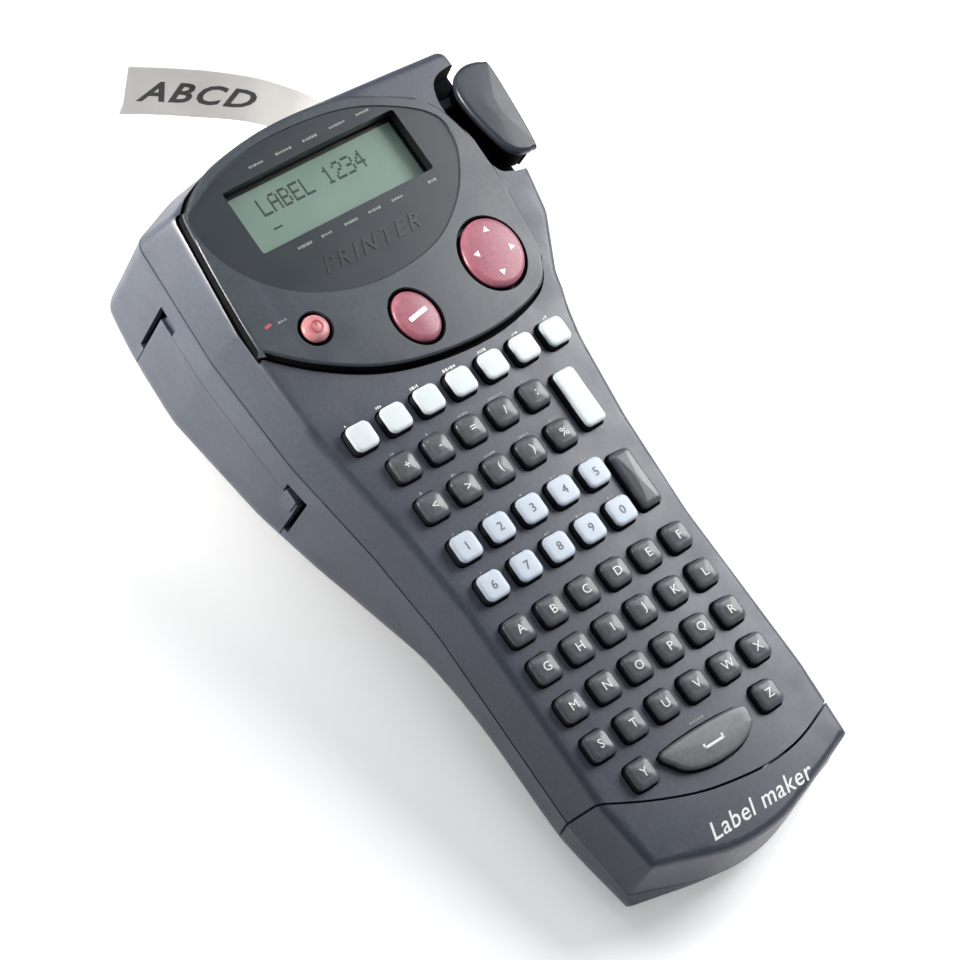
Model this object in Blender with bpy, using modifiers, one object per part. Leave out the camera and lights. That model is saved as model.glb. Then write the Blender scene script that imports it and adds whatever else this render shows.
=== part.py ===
"""Hand-held electronic label maker, lying on its back.

Everything is drawn in the frame of the keypad face: x runs along the key rows, y runs from the chin
to the head, z comes out of the face.  At the end the whole assembly is tilted so that the flat of the
belly and the foot of the chin stand on z = 0.
"""
import math

import bmesh
import bpy
from mathutils import Matrix, Vector

MM = 0.001

# ---- driving dimensions, millimetres --------------------------------------------------------------
TILT = math.radians(10.8)            # face against the table
ORIGIN_Y = 58.0                      # the part's origin is on the flat of the belly, under this place
REST_Y, REST_Z = 107.0, -60.5        # a point of the resting plane, in the face frame

SEAM_Z = -16.5                       # joint line between the two shells
CROWN_GRIP, CROWN_HEAD = 1.3, 0.65   # drop of the face 36 mm from its middle
CROWN_STRIP, CROWN_Y0, CROWN_Y1 = 15.0, 69.0, 74.0
WALL = 2.2
CEILING_Z = -3.5
FLOOR_REF = -60.0
FLOOR_ZONE = 7.0
HOLLOW, HOLLOW_Y0, HOLLOW_Y1 = 6.8, -60.0, 54.0
HEAD_RISE = 2.5
GAP = 0.3

# corners of the plan with their rounding: x, y, radius
PLAN = (
    (-35.6, -70.4, 2.4), (-2.0, -81.8, 90.0), (39.4, -68.4, 3.0), (40.6, -45.0, 40.0), (39.0, 5.0, 60.0),
    (40.5, 35.0, 60.0), (43.6, 60.0, 40.0), (48.6, 78.0, 14.0), (57.6, 94.0, 14.0), (60.8, 108.0, 12.0),
    (60.2, 150.8, 5.0), (10.0, 152.6, 90.0), (-28.0, 149.4, 40.0), (-46.0, 142.5, 5.0), (-47.8, 104.0, 14.0),
    (-46.0, 70.0, 60.0), (-41.0, 38.0, 60.0), (-38.5, 12.0, 60.0), (-38.5, -48.0, 30.0),
)
# how far each corner leans in towards the face, beyond the even draft of the walls
LEAN_IN = {12: (1.0, -0.8), 13: (3.4, -1.0), 14: (1.0, 0.0)}
# how far the corners of the chin stand out at its foot
FLARE = {0: (-0.4, -3.0), 1: (0.0, 0.6), 2: (0.8, -1.4)}

# soft outline of the disc that carries the display and the three buttons
FASCIA = (
    (-44.0, 98.6), (-42.2, 94.8), (-32.0, 86.0), (-18.0, 77.8), (-3.0, 73.4), (14.0, 71.8), (29.0, 73.4),
    (39.5, 77.8), (44.6, 87.0), (46.4, 99.0), (47.4, 111.0), (46.6, 124.0), (42.5, 135.5), (33.0, 142.3),
    (17.0, 148.4), (-4.0, 149.6), (-22.0, 147.2), (-31.4, 143.8), (-38.0, 139.0), (-40.6, 134.4),
)
LENS = (
    (-39.6, 134.6), (-36.8, 120.0), (-26.8, 107.4), (-12.0, 100.0), (4.0, 98.2), (20.0, 101.2),
    (33.0, 110.0), (41.0, 121.6), (41.4, 131.0), (32.0, 138.6), (17.0, 144.4), (-4.0, 146.2),
    (-21.0, 144.2), (-33.6, 139.6),
)
FASCIA_TOP, FASCIA_BOTTOM, FASCIA_DOME = 2.6, -1.7, 0.9
LENS_DEPTH = 0.5

SCREEN_X0, SCREEN_X1, SCREEN_Y0, SCREEN_Y1 = -26.5, 31.3, 118.8, 138.5

COLUMN = 11.0
ROW_Y = (63.8, 51.5, 38.8, 25.4, 13.2, 0.0, -11.8, -23.8, -35.7, -47.6)
KEY_TRAVEL = 1.2
KEY_TOP = 3.2
CAP, CAP_HOLE, FLANGE = 7.6, 8.3, 9.8
FLANGE_TOP, FLANGE_BOTTOM = -4.9, -5.9
TALL_X, TALL_HALF = 27.2, 8.6
CORNER_KEY_X = 22.0
SPACE = (
    (-13.6, -45.6), (-12.9, -50.6), (-9.6, -53.6), (-4.0, -55.2), (1.4, -55.5), (7.0, -54.9),
    (11.8, -52.9), (13.8, -50.4), (11.4, -45.8),
)

NAV_X, NAV_Y, NAV_A, NAV_B, NAV_TURN = 30.6, 90.4, 8.9, 10.3, -14.0
PRINT_X, PRINT_Y, PRINT_A, PRINT_B, PRINT_TURN = 0.0, 84.8, 6.2, 7.8, 8.0
POWER_X, POWER_Y, POWER_R = -26.8, 94.6, 3.9
BUTTON_GAP = 0.5
BUTTON_TOP = 3.9
ROCK_Z = -2.7                        # height the navigation pad rocks about

MAT_TOP, MAT_BOTTOM, DOME_TOP = -8.3, -9.1, -7.5
BOARD_TOP, BOARD_BOTTOM = -9.4, -10.8

LEVER = (
    (57.0, 111.2), (60.4, 110.8), (62.4, 113.2), (64.6, 135.8), (63.0, 139.2), (58.0, 140.4),
    (53.6, 139.0), (50.8, 134.8), (50.4, 128.4), (51.8, 119.8), (53.8, 113.8),
)
LEVER_PIVOT = (58.0, 115.6)
LEVER_TOP, LEVER_BOTTOM = 3.4, -8.6
LEVER_POCKET_FLOOR = -10.6

TAPE_X, TAPE_Z, TAPE_HALF, TAPE_THICK = 36.0, -40.0, 9.5, 0.3
TAPE_PATH = (
    (28.6, 117.6), (32.6, 120.6), (35.0, 124.8), (36.0, 129.4), (36.0, 136.0), (36.0, 143.0), (36.0, 150.0),
    (34.9, 156.0), (31.6, 162.0), (27.0, 167.0), (21.4, 172.0), (14.0, 177.0), (5.6, 182.0), (-1.6, 186.0),
    (-10.4, 190.4),
)
TAPE_LEAN = math.radians(15.0)
TAPE_LEAN_Y = 150.0
TAPE_SLANT = 3.4                      # the free end is cut a little askew

PLATEN_X, PLATEN_Y, PLATEN_R = 40.7, 133.0, 4.2
IDLER_X, IDLER_Y = 24.6, 124.7
PINION_X, PINION_Y = 11.25, 130.4
MODULE = 0.6
PLATEN_TEETH, IDLER_TEETH, PINION_TEETH = 24, 36, 12
GEAR_Z0, GEAR_Z1 = -27.4, -24.4
CHASSIS_TOP, CHASSIS_BOTTOM = -28.0, -29.4

DOOR_Y0, DOOR_Y1, DOOR_Z = 62.3, 124.2, -28.3
LATCH_X = -43.6
BATTERY_PITCH = 14.6
BATTERY_R, BATTERY_LENGTH, BATTERY_Y, BATTERY_Z = 7.1, 50.4, -14.8, -18.6
BATTERY_DOOR_Y0, BATTERY_DOOR_Y1, BATTERY_DOOR_X = -45.0, 14.0, 29.3

CHIN_SEAM = (
    (-60.0, -35.0), (-38.0, -46.9), (-30.0, -51.2), (-22.0, -55.0), (-12.0, -58.8), (-3.0, -61.0),
    (9.0, -62.6), (18.0, -62.4), (26.0, -61.0), (36.0, -57.6), (42.0, -54.9), (60.0, -46.0),
)


# ---- scene and materials --------------------------------------------------------------------------
def clear_scene():
    for obj in list(bpy.data.objects):
        bpy.data.objects.remove(obj, do_unlink=True)


clear_scene()
PARTS = bpy.data.collections.new("label_maker")
CUTTERS = bpy.data.collections.new("label_maker_cutters")
bpy.context.scene.collection.children.link(PARTS)
bpy.context.scene.collection.children.link(CUTTERS)


def plastic(name, colour, roughness=0.5, metallic=0.0, transmission=0.0):
    material = bpy.data.materials.new(name)
    material.use_nodes = True
    shader = material.node_tree.nodes["Principled BSDF"]
    shader.inputs["Base Color"].default_value = (*colour, 1.0)
    shader.inputs["Roughness"].default_value = roughness
    shader.inputs["Metallic"].default_value = metallic
    shader.inputs["Transmission Weight"].default_value = transmission
    material.diffuse_color = (*colour, 1.0)
    return material


SLATE = plastic("case_slate_plastic", (0.105, 0.118, 0.150), 0.48)
SLATE_DARK = plastic("fascia_dark_plastic", (0.075, 0.085, 0.110), 0.42)
KEY_GREY = plastic("key_grey_rubber", (0.070, 0.076, 0.092), 0.45)
KEY_WHITE = plastic("key_white_plastic", (0.78, 0.79, 0.82), 0.40)
KEY_LILAC = plastic("key_lilac_plastic", (0.55, 0.58, 0.72), 0.40)
MAROON = plastic("button_maroon_rubber", (0.36, 0.075, 0.11), 0.42)
CLEAR = plastic("window_clear", (0.80, 0.86, 0.83), 0.08, 0.0, 0.9)
LCD_GREEN = plastic("lcd_green", (0.30, 0.42, 0.33), 0.35)
SILICONE = plastic("mat_silicone", (0.16, 0.17, 0.18), 0.60)
BOARD_GREEN = plastic("board_green", (0.03, 0.16, 0.07), 0.50)
STEEL = plastic("bright_steel", (0.62, 0.63, 0.65), 0.28, 1.0)
BLACK = plastic("black_plastic", (0.015, 0.015, 0.017), 0.45)
RUBBER = plastic("roller_rubber", (0.02, 0.02, 0.02), 0.70)
ACETAL = plastic("gear_acetal", (0.72, 0.70, 0.64), 0.45)
PAPER = plastic("label_paper", (0.72, 0.71, 0.71), 0.55)
CELL = plastic("battery_jacket", (0.55, 0.46, 0.20), 0.35, 0.4)


# ---- shapes ---------------------------------------------------------------------------------------
def link(name, mesh, collection, material=None, location=(0.0, 0.0, 0.0)):
    obj = bpy.data.objects.new(name, mesh)
    obj.location = Vector(location) * MM
    if material is not None and not mesh.materials:
        mesh.materials.append(material)
    collection.objects.link(obj)
    return obj


def finish_mesh(name, bm, smooth=False):
    bmesh.ops.recalc_face_normals(bm, faces=bm.faces)
    bmesh.ops.scale(bm, vec=(MM, MM, MM), verts=bm.verts)
    for face in bm.faces:
        face.smooth = smooth
    mesh = bpy.data.meshes.new(name)
    bm.to_mesh(mesh)
    bm.free()
    return mesh


def add_stack(bm, levels):
    """Closed body through outlines of equal length, one at each height: [(outline, z), ...]."""
    rings = [[bm.verts.new((x, y, z)) for x, y in outline] for outline, z in levels]
    bm.faces.new(list(reversed(rings[0])))
    for low, high in zip(rings, rings[1:]):
        count = len(low)
        for i in range(count):
            j = (i + 1) % count
            bm.faces.new((low[i], low[j], high[j], high[i]))
    bm.faces.new(rings[-1])


def add_box(bm, x0, x1, y0, y1, z0, z1):
    middle = Matrix.Translation((0.5 * (x0 + x1), 0.5 * (y0 + y1), 0.5 * (z0 + z1)))
    size = Matrix.Diagonal((x1 - x0, y1 - y0, z1 - z0, 1.0))
    bmesh.ops.create_cube(bm, size=1.0, matrix=middle @ size)


def add_tube(bm, axis, a, b, start, end, radius, count=20):
    """A round bar along y or z; a and b are its place in the other two directions."""
    middle = 0.5 * (start + end)
    if axis == "y":
        place = Matrix.Translation((a, middle, b)) @ Matrix.Rotation(math.radians(-90.0), 4, "X")
    else:
        place = Matrix.Translation((a, b, middle))
    bmesh.ops.create_cone(
        bm, cap_ends=True, segments=count, radius1=radius, radius2=radius, depth=end - start, matrix=place
    )


def turned(name, profile, location, material, count=24):
    """A turned piece: a profile of (radius, height) from the top down, spun about its own z."""
    bm = bmesh.new()
    verts = [bm.verts.new((radius, 0.0, height)) for radius, height in profile]
    for upper, lower in zip(verts, verts[1:]):
        bm.edges.new((upper, lower))
    bmesh.ops.scale(bm, vec=(MM, MM, MM), verts=bm.verts)
    mesh = bpy.data.meshes.new(name)
    bm.to_mesh(mesh)
    bm.free()
    obj = link(name, mesh, PARTS, material, location)
    spin = obj.modifiers.new("spin", "SCREW")
    spin.steps = count
    spin.render_steps = count
    spin.use_merge_vertices = True
    spin.merge_threshold = 0.00001
    return obj


def move_origin(obj, x, y, z):
    """Puts the object's origin at a place in the face frame and leaves its shape where it is."""
    place = Vector((x, y, z)) * MM
    obj.data.transform(Matrix.Translation(obj.location - place))
    obj.location = place


def circle(cx, cy, radius, count=24, phase=0.0):
    turn = 2.0 * math.pi / count
    return [
        (cx + radius * math.cos(phase + turn * i), cy + radius * math.sin(phase + turn * i))
        for i in range(count)
    ]


def ellipse(cx, cy, a, b, degrees=0.0, count=28):
    c, s = math.cos(math.radians(degrees)), math.sin(math.radians(degrees))
    points = []
    for i in range(count):
        t = 2.0 * math.pi * i / count
        u, v = a * math.cos(t), b * math.sin(t)
        points.append((cx + c * u - s * v, cy + s * u + c * v))
    return points


def chamfered(cx, cy, hx, hy, cut):
    return [
        (cx - hx + cut, cy - hy), (cx + hx - cut, cy - hy), (cx + hx, cy - hy + cut), (cx + hx, cy + hy - cut),
        (cx + hx - cut, cy + hy), (cx - hx + cut, cy + hy), (cx - hx, cy + hy - cut), (cx - hx, cy - hy + cut),
    ]


def filleted(corners, steps_at):
    """Closed outline with every corner rounded to its own radius, in a given number of steps."""
    points = []
    count = len(corners)
    for i, (x, y, radius) in enumerate(corners):
        here = Vector((x, y))
        before = Vector(corners[i - 1][:2]) - here
        after = Vector(corners[(i + 1) % count][:2]) - here
        room = 0.49 * min(before.length, after.length)
        before.normalize()
        after.normalize()
        half = 0.5 * before.angle(after)
        reach = min(radius / math.tan(half), room)
        radius = reach * math.tan(half)
        middle = here + (before + after).normalized() * (radius / math.sin(half))
        start, end = here + before * reach - middle, here + after * reach - middle
        sweep = start.angle_signed(end)
        steps = steps_at[i]
        for k in range(steps + 1):
            turned = start.copy()
            turned.rotate(Matrix.Rotation(-sweep * k / steps, 2))
            points.append(tuple(middle + turned))
    return points


def smoothed(points, steps=3):
    """Closed Catmull-Rom curve through the points."""
    count = len(points)
    curve = []
    for i in range(count):
        p0, p1 = Vector(points[i - 1]), Vector(points[i])
        p2, p3 = Vector(points[(i + 1) % count]), Vector(points[(i + 2) % count])
        for k in range(steps):
            t = k / steps
            curve.append(tuple(
                0.5 * (2 * p1 + (p2 - p0) * t + (2 * p0 - 5 * p1 + 4 * p2 - p3) * t * t
                       + (3 * p1 - p0 - 3 * p2 + p3) * t * t * t)
            ))
    return curve


def inset(outline, distance):
    """The outline moved inwards; a negative distance moves it outwards."""
    count = len(outline)
    moved = []
    for i in range(count):
        here = Vector(outline[i])
        e1 = (here - Vector(outline[i - 1])).normalized()
        e2 = (Vector(outline[(i + 1) % count]) - here).normalized()
        normal = Vector((-(e1.y + e2.y), e1.x + e2.x)).normalized()
        stretch = max(0.6, Vector((-e1.y, e1.x)).dot(normal))
        moved.append(tuple(here + normal * (distance / stretch)))
    return moved


def block(name, outline, z0, z1, collection=None, material=None):
    bm = bmesh.new()
    add_stack(bm, [(outline, z0), (outline, z1)])
    if collection is None:
        return cutter(name, bm)
    return link(name, finish_mesh(name, bm), collection, material)


def cutter(name, bm):
    obj = link(name, finish_mesh(name, bm), CUTTERS)
    obj.hide_render = True
    obj.display_type = "WIRE"
    return obj


def combine(obj, other, operation):
    modifier = obj.modifiers.new(f"{operation.lower()}_{other.name}", "BOOLEAN")
    modifier.operation = operation
    modifier.object = other
    modifier.solver = "EXACT"
    return obj


def box_cutter(name, *limits):
    bm = bmesh.new()
    add_box(bm, *limits)
    return cutter(name, bm)


# ---- the shell both halves are cut from -----------------------------------------------------------
def crown(x, y):
    """Drop of the face beside its middle: flat strips 15 mm wide, shallower on the head."""
    head = min(1.0, max(0.0, (y - CROWN_Y0) / (CROWN_Y1 - CROWN_Y0)))
    inner = CROWN_STRIP * min(2, int(abs(x) / CROWN_STRIP))
    outer = inner + CROWN_STRIP
    drop = inner ** 2 + (outer ** 2 - inner ** 2) * (abs(x) - inner) / CROWN_STRIP
    return (CROWN_GRIP + (CROWN_HEAD - CROWN_GRIP) * head) * drop / 36.0 ** 2


def floor_z(y):
    rest = REST_Z + (REST_Y - y) * math.tan(TILT)
    if HOLLOW_Y0 < y < HOLLOW_Y1:
        rest += HOLLOW * math.sin(math.pi * (y - HOLLOW_Y0) / (HOLLOW_Y1 - HOLLOW_Y0)) ** 2
    if y > REST_Y:
        rest = REST_Z + HEAD_RISE * (max(0.0, y - 120.0) / 18.0) ** 2
    return rest


def warped(x, y, z):
    """Bends a straight body to the crown of the face and the sweep of the underside."""
    if z > SEAM_Z:
        return z - crown(x, y) * (z - SEAM_Z) / -SEAM_Z
    shift = floor_z(y) - FLOOR_REF
    upper = FLOOR_REF + FLOOR_ZONE
    if z < upper:
        return z + shift
    return z + shift * (SEAM_Z - z) / (SEAM_Z - upper)


def plan_steps():
    steps = []
    for i, (x, y, _) in enumerate(PLAN):
        here = Vector((x, y))
        before, after = here - Vector(PLAN[i - 1][:2]), Vector(PLAN[(i + 1) % len(PLAN)][:2]) - here
        steps.append(max(2, min(10, round(math.degrees(before.angle(after)) / 9.0))))
    return steps


def plan_inset(distance, z):
    """The plan at a height, moved inwards corner by corner, each rounding shrinking or growing with it."""
    lean = min(1.0, max(0.0, 1.0 - z / SEAM_Z))
    flare = min(1.0, max(0.0, (SEAM_Z - z) / 36.0))
    count = len(PLAN)
    corners = []
    for i, (x, y, radius) in enumerate(PLAN):
        here = Vector((x, y))
        e1 = (here - Vector(PLAN[i - 1][:2])).normalized()
        e2 = (Vector(PLAN[(i + 1) % count][:2]) - here).normalized()
        normal = Vector((-(e1.y + e2.y), e1.x + e2.x)).normalized()
        moved = here + normal * (distance / Vector((-e1.y, e1.x)).dot(normal))
        turn = 1.0 if e1.cross(e2) > 0.0 else -1.0
        extra = Vector(LEAN_IN.get(i, (0.0, 0.0))) * lean + Vector(FLARE.get(i, (0.0, 0.0))) * flare
        corners.append((moved.x + extra.x, moved.y + extra.y, max(0.4, radius - turn * distance)))
    return filleted(corners, plan_steps())


def shell_mesh(name, levels):
    bm = bmesh.new()
    add_stack(bm, [(plan_inset(d, z), z) for d, z in levels])
    cuts = [((0.0, y, 0.0), (0.0, 1.0, 0.0)) for y in
            (-60.0, -48.0, -36.0, -24.0, -12.0, 0.0, 12.0, 24.0, 36.0, HOLLOW_Y1, CROWN_Y0, CROWN_Y1,
             107.0, 120.0, 128.0, 136.0, 143.0)]
    cuts += [((CROWN_STRIP * i, 0.0, 0.0), (1.0, 0.0, 0.0)) for i in range(-2, 4)]
    for point, normal in cuts:
        geometry = bm.verts[:] + bm.edges[:] + bm.faces[:]
        bmesh.ops.bisect_plane(bm, geom=geometry, dist=0.05, plane_co=point, plane_no=normal)
    for vert in bm.verts:
        vert.co.z = warped(*vert.co)
    bmesh.ops.connect_verts_nonplanar(bm, angle_limit=math.radians(0.02), faces=bm.faces)
    return finish_mesh(name, bm)


SKIN_LEVELS = (
    (6.0, FLOOR_REF), (3.2, FLOOR_REF + 1.3), (1.5, FLOOR_REF + 3.6), (0.8, FLOOR_REF + FLOOR_ZONE),
    (0.0, SEAM_Z), (2.1, -2.0), (2.7, -0.8), (4.1, 0.0),
)
HOLLOW_LEVELS = (
    (7.4, FLOOR_REF + WALL), (4.6, FLOOR_REF + 3.8), (3.0, FLOOR_REF + FLOOR_ZONE), (WALL, SEAM_Z),
    (4.3, CEILING_Z),
)
SKIN = shell_mesh("skin", SKIN_LEVELS)
HOLLOW_MESH = shell_mesh("hollow", HOLLOW_LEVELS)


def chin_prism(name, shift):
    curve = [(x, y + shift) for x, y in CHIN_SEAM]
    outline = [(-60.0, -100.0), (60.0, -100.0)] + list(reversed(curve))
    return block(name, outline, -80.0, 20.0)


LEVER_OUTLINE = smoothed(LEVER, 2)
LEVER_ROOM = smoothed([
    (53.0, 108.6), (60.0, 107.6), (74.0, 108.6), (76.0, 126.0), (74.0, 143.0), (59.6, 143.6),
    (50.4, 142.2), (46.8, 136.8), (46.4, 128.4), (47.8, 118.0), (49.6, 111.2),
], 2)


def hollow_cutter():
    """The space inside the case, less a wall round the pocket of the thumb lever."""
    hollow = link("cut_hollow", HOLLOW_MESH, CUTTERS)
    hollow.hide_render = True
    hollow.display_type = "WIRE"
    bm = bmesh.new()
    add_stack(bm, [(inset(LEVER_ROOM, -1.8), LEVER_POCKET_FLOOR - 1.8), (inset(LEVER_ROOM, -1.8), 20.0)])
    combine(hollow, cutter("cut_pocket_wall", bm), "DIFFERENCE")
    return hollow


CUT_HOLLOW = hollow_cutter()
CUT_POCKET = block("cut_lever_pocket", LEVER_ROOM, LEVER_POCKET_FLOOR, 20.0)
CUT_ABOVE = box_cutter("keep_upper", -90.0, 90.0, -110.0, 170.0, SEAM_Z + 0.15, 30.0)
CUT_BELOW = box_cutter("keep_lower", -90.0, 90.0, -110.0, 170.0, -90.0, SEAM_Z - 0.15)
CUT_CHIN = chin_prism("cut_chin", 0.15)
KEEP_CHIN = chin_prism("keep_chin", -0.15)


# ---- layout of the keys ---------------------------------------------------------------------------
def single_keys():
    """Name, x, y and colour of every square key that moves by itself."""
    keys = [(f"key_function_{i + 1}", (i - 3) * COLUMN, ROW_Y[0], "white") for i in range(7)]
    for row, first in ((3, 0), (4, 5)):
        for i in range(5):
            keys.append((f"key_number_{first + i}", (i - 2.42) * COLUMN, ROW_Y[row], "lilac"))
    keys.append(("key_corner_left", -CORNER_KEY_X, ROW_Y[9], "grey"))
    keys.append(("key_corner_right", CORNER_KEY_X, ROW_Y[9], "grey"))
    return keys


def letter_rows():
    """Name, y and the x of each cap for the six rows of grey letter keys."""
    rows = []
    for number, row in enumerate((1, 2, 5, 6, 7, 8)):
        count = 5 if row < 5 else 6
        rows.append((f"letter_row_{number + 1}", ROW_Y[row], [(i - 2.5) * COLUMN for i in range(count)]))
    return rows


TALL_KEYS = (("key_tall_white", 45.1, KEY_WHITE), ("key_tall_grey", 18.9, KEY_GREY))


def key_holes():
    half = 0.5 * CAP_HOLE
    bm = bmesh.new()
    spots = [(x, y) for _, x, y, _ in single_keys()]
    spots += [(x, y) for _, y, row in letter_rows() for x in row]
    for x, y in spots:
        outline = chamfered(x, y, half, half, 1.4)
        add_stack(bm, [(outline, -12.0), (outline, 12.0)])
    for _, y, _ in TALL_KEYS:
        outline = chamfered(TALL_X, y, half - 0.3, TALL_HALF + 0.35, 1.2)
        add_stack(bm, [(outline, -12.0), (outline, 12.0)])
    outline = inset(SPACE, -0.35)
    add_stack(bm, [(outline, -12.0), (outline, 12.0)])
    return cutter("cut_keys", bm)


# ---- shells ---------------------------------------------------------------------------------------
FASCIA_OUTLINE = smoothed(FASCIA, 3)
LENS_OUTLINE = smoothed(LENS, 3)


def button_outlines(grow, count=24):
    return (
        ellipse(NAV_X, NAV_Y, NAV_A + grow, NAV_B + grow, NAV_TURN, count),
        ellipse(PRINT_X, PRINT_Y, PRINT_A + grow, PRINT_B + grow, PRINT_TURN, count),
        circle(POWER_X, POWER_Y, POWER_R + grow, count),
    )


def upper_case():
    obj = link("upper_case", SKIN.copy(), PARTS, SLATE)
    combine(obj, CUT_HOLLOW, "DIFFERENCE")
    combine(obj, CUT_ABOVE, "INTERSECT")
    combine(obj, CUT_CHIN, "DIFFERENCE")
    combine(obj, CUT_POCKET, "DIFFERENCE")
    combine(obj, block("cut_fascia_seat", inset(FASCIA_OUTLINE, -0.3), -2.0, 20.0), "DIFFERENCE")
    combine(obj, key_holes(), "DIFFERENCE")
    bm = bmesh.new()
    for outline in button_outlines(BUTTON_GAP + 0.8):
        add_stack(bm, [(outline, -12.0), (outline, 12.0)])
    add_box(bm, SCREEN_X0 - 3.0, SCREEN_X1 + 3.0, SCREEN_Y0 - 3.0, SCREEN_Y1 + 3.0, -12.0, 12.0)
    add_box(bm, 42.0, 51.0, 130.4, 138.4, -8.2, -4.8)
    combine(obj, cutter("cut_head_openings", bm), "DIFFERENCE")
    return obj


def lower_case():
    obj = link("lower_case", SKIN.copy(), PARTS, SLATE)
    combine(obj, CUT_HOLLOW, "DIFFERENCE")
    combine(obj, CUT_BELOW, "INTERSECT")
    combine(obj, CUT_CHIN, "DIFFERENCE")
    bm = bmesh.new()
    add_box(bm, -90.0, 90.0, DOOR_Y0 - GAP, DOOR_Y1 + GAP, -90.0, DOOR_Z + GAP)
    add_box(bm, -BATTERY_DOOR_X - GAP, BATTERY_DOOR_X + GAP, BATTERY_DOOR_Y0 - GAP, BATTERY_DOOR_Y1 + GAP, -90.0, -22.0)
    combine(obj, cutter("cut_bays", bm), "DIFFERENCE")
    bm = bmesh.new()
    add_box(bm, -60.0, -40.0, DOOR_Y1 - 5.6, DOOR_Y1 + 1.9, -47.0, -24.0)
    add_box(bm, -60.0, -38.0, DOOR_Y0 - 1.9, DOOR_Y0 + 5.6, -43.0, -24.0)
    combine(obj, cutter("cut_latch_notches", bm), "DIFFERENCE")
    combine(obj, box_cutter("cut_tape_slot", TAPE_X - 1.6, TAPE_X + 1.6, 142.0, 170.0, -50.6, -29.4), "DIFFERENCE")
    return obj


def end_cap():
    obj = link("end_cap", SKIN.copy(), PARTS, SLATE)
    combine(obj, CUT_HOLLOW, "DIFFERENCE")
    combine(obj, KEEP_CHIN, "INTERSECT")
    return obj


def head_fascia():
    bm = bmesh.new()
    levels = [
        (FASCIA_OUTLINE, FASCIA_BOTTOM), (FASCIA_OUTLINE, FASCIA_TOP - 0.7),
        (inset(FASCIA_OUTLINE, 0.4), FASCIA_TOP - 0.2), (inset(FASCIA_OUTLINE, 1.1), FASCIA_TOP),
    ]
    add_stack(bm, levels)
    for x in (-30.0, -15.0, 3.0, 20.0, 36.0):
        geometry = bm.verts[:] + bm.edges[:] + bm.faces[:]
        bmesh.ops.bisect_plane(bm, geom=geometry, dist=0.05, plane_co=(x, 0, 0), plane_no=(1, 0, 0))
    for vert in bm.verts:
        if vert.co.z > 0.5:
            far = ((vert.co.x - 3.5) ** 2) / 44.0 ** 2
            vert.co.z -= FASCIA_DOME * far
    obj = link("head_fascia", finish_mesh("head_fascia", bm), PARTS, SLATE_DARK)
    bm = bmesh.new()
    add_stack(bm, [(LENS_OUTLINE, FASCIA_TOP - FASCIA_DOME - LENS_DEPTH + 0.35), (inset(LENS_OUTLINE, -0.5), 12.0)])
    combine(obj, cutter("cut_lens", bm), "DIFFERENCE")
    bm = bmesh.new()
    add_box(bm, SCREEN_X0, SCREEN_X1, SCREEN_Y0, SCREEN_Y1, -12.0, 12.0)
    for outline in button_outlines(BUTTON_GAP):
        add_stack(bm, [(outline, -12.0), (outline, 12.0)])
    combine(obj, cutter("cut_fascia_openings", bm), "DIFFERENCE")
    return obj


# ---- keys and buttons -----------------------------------------------------------------------------
def add_cap(bm, x, y, hx, hy, cut, drop=0.0):
    add_stack(bm, [
        (chamfered(x, y, hx, hy, cut), FLANGE_TOP - 0.4), (chamfered(x, y, hx, hy, cut), KEY_TOP - 1.5 - drop),
        (chamfered(x, y, hx - 0.4, hy - 0.4, cut), KEY_TOP - 0.45 - drop),
        (chamfered(x, y, hx - 1.2, hy - 1.2, cut * 0.8), KEY_TOP - drop),
    ])


def key_mesh(name, hx, hy, cut):
    """Cap with the flange that holds it under the face, drawn round its own middle."""
    bm = bmesh.new()
    grow = 0.5 * (FLANGE - CAP)
    flange = chamfered(0.0, 0.0, hx + grow, hy + grow, cut)
    body = chamfered(0.0, 0.0, hx, hy, cut)
    add_stack(bm, [
        (flange, FLANGE_BOTTOM + 1.0), (flange, FLANGE_TOP + 1.0), (body, FLANGE_TOP + 1.0), (body, KEY_TOP - 1.5),
        (chamfered(0.0, 0.0, hx - 0.4, hy - 0.4, cut), KEY_TOP - 0.45),
        (chamfered(0.0, 0.0, hx - 1.2, hy - 1.2, cut * 0.8), KEY_TOP),
    ])
    return finish_mesh(name, bm)


def make_keys():
    half = 0.5 * CAP
    colours = {"white": KEY_WHITE, "lilac": KEY_LILAC, "grey": KEY_GREY}
    meshes = {}
    for colour, material in colours.items():
        meshes[colour] = key_mesh(f"key_{colour}", half, half, 1.3)
        meshes[colour].materials.append(material)
    for name, x, y, colour in single_keys():
        link(name, meshes[colour], PARTS, None, (x, y, -crown(x, y)))
    for name, y, material in TALL_KEYS:
        mesh = key_mesh(name, half - 0.3, TALL_HALF, 1.1)
        link(name, mesh, PARTS, material, (TALL_X, y, -crown(TALL_X, y)))


def make_letter_rows():
    half = 0.5 * CAP
    for name, y, row in letter_rows():
        bm = bmesh.new()
        grow = 0.5 * (FLANGE - CAP)
        add_box(bm, row[0] - half - grow, row[-1] + half + grow, -half - grow, half + grow, FLANGE_BOTTOM, FLANGE_TOP)
        obj = link(name, finish_mesh(name, bm), PARTS, KEY_GREY, (0.0, y, 0.0))
        bm = bmesh.new()
        for x in row:
            add_cap(bm, x, 0.0, half, half, 1.3, crown(x, y))
        caps = cutter(f"caps_{name}", bm)
        caps.location = obj.location
        combine(obj, caps, "UNION")


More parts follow.
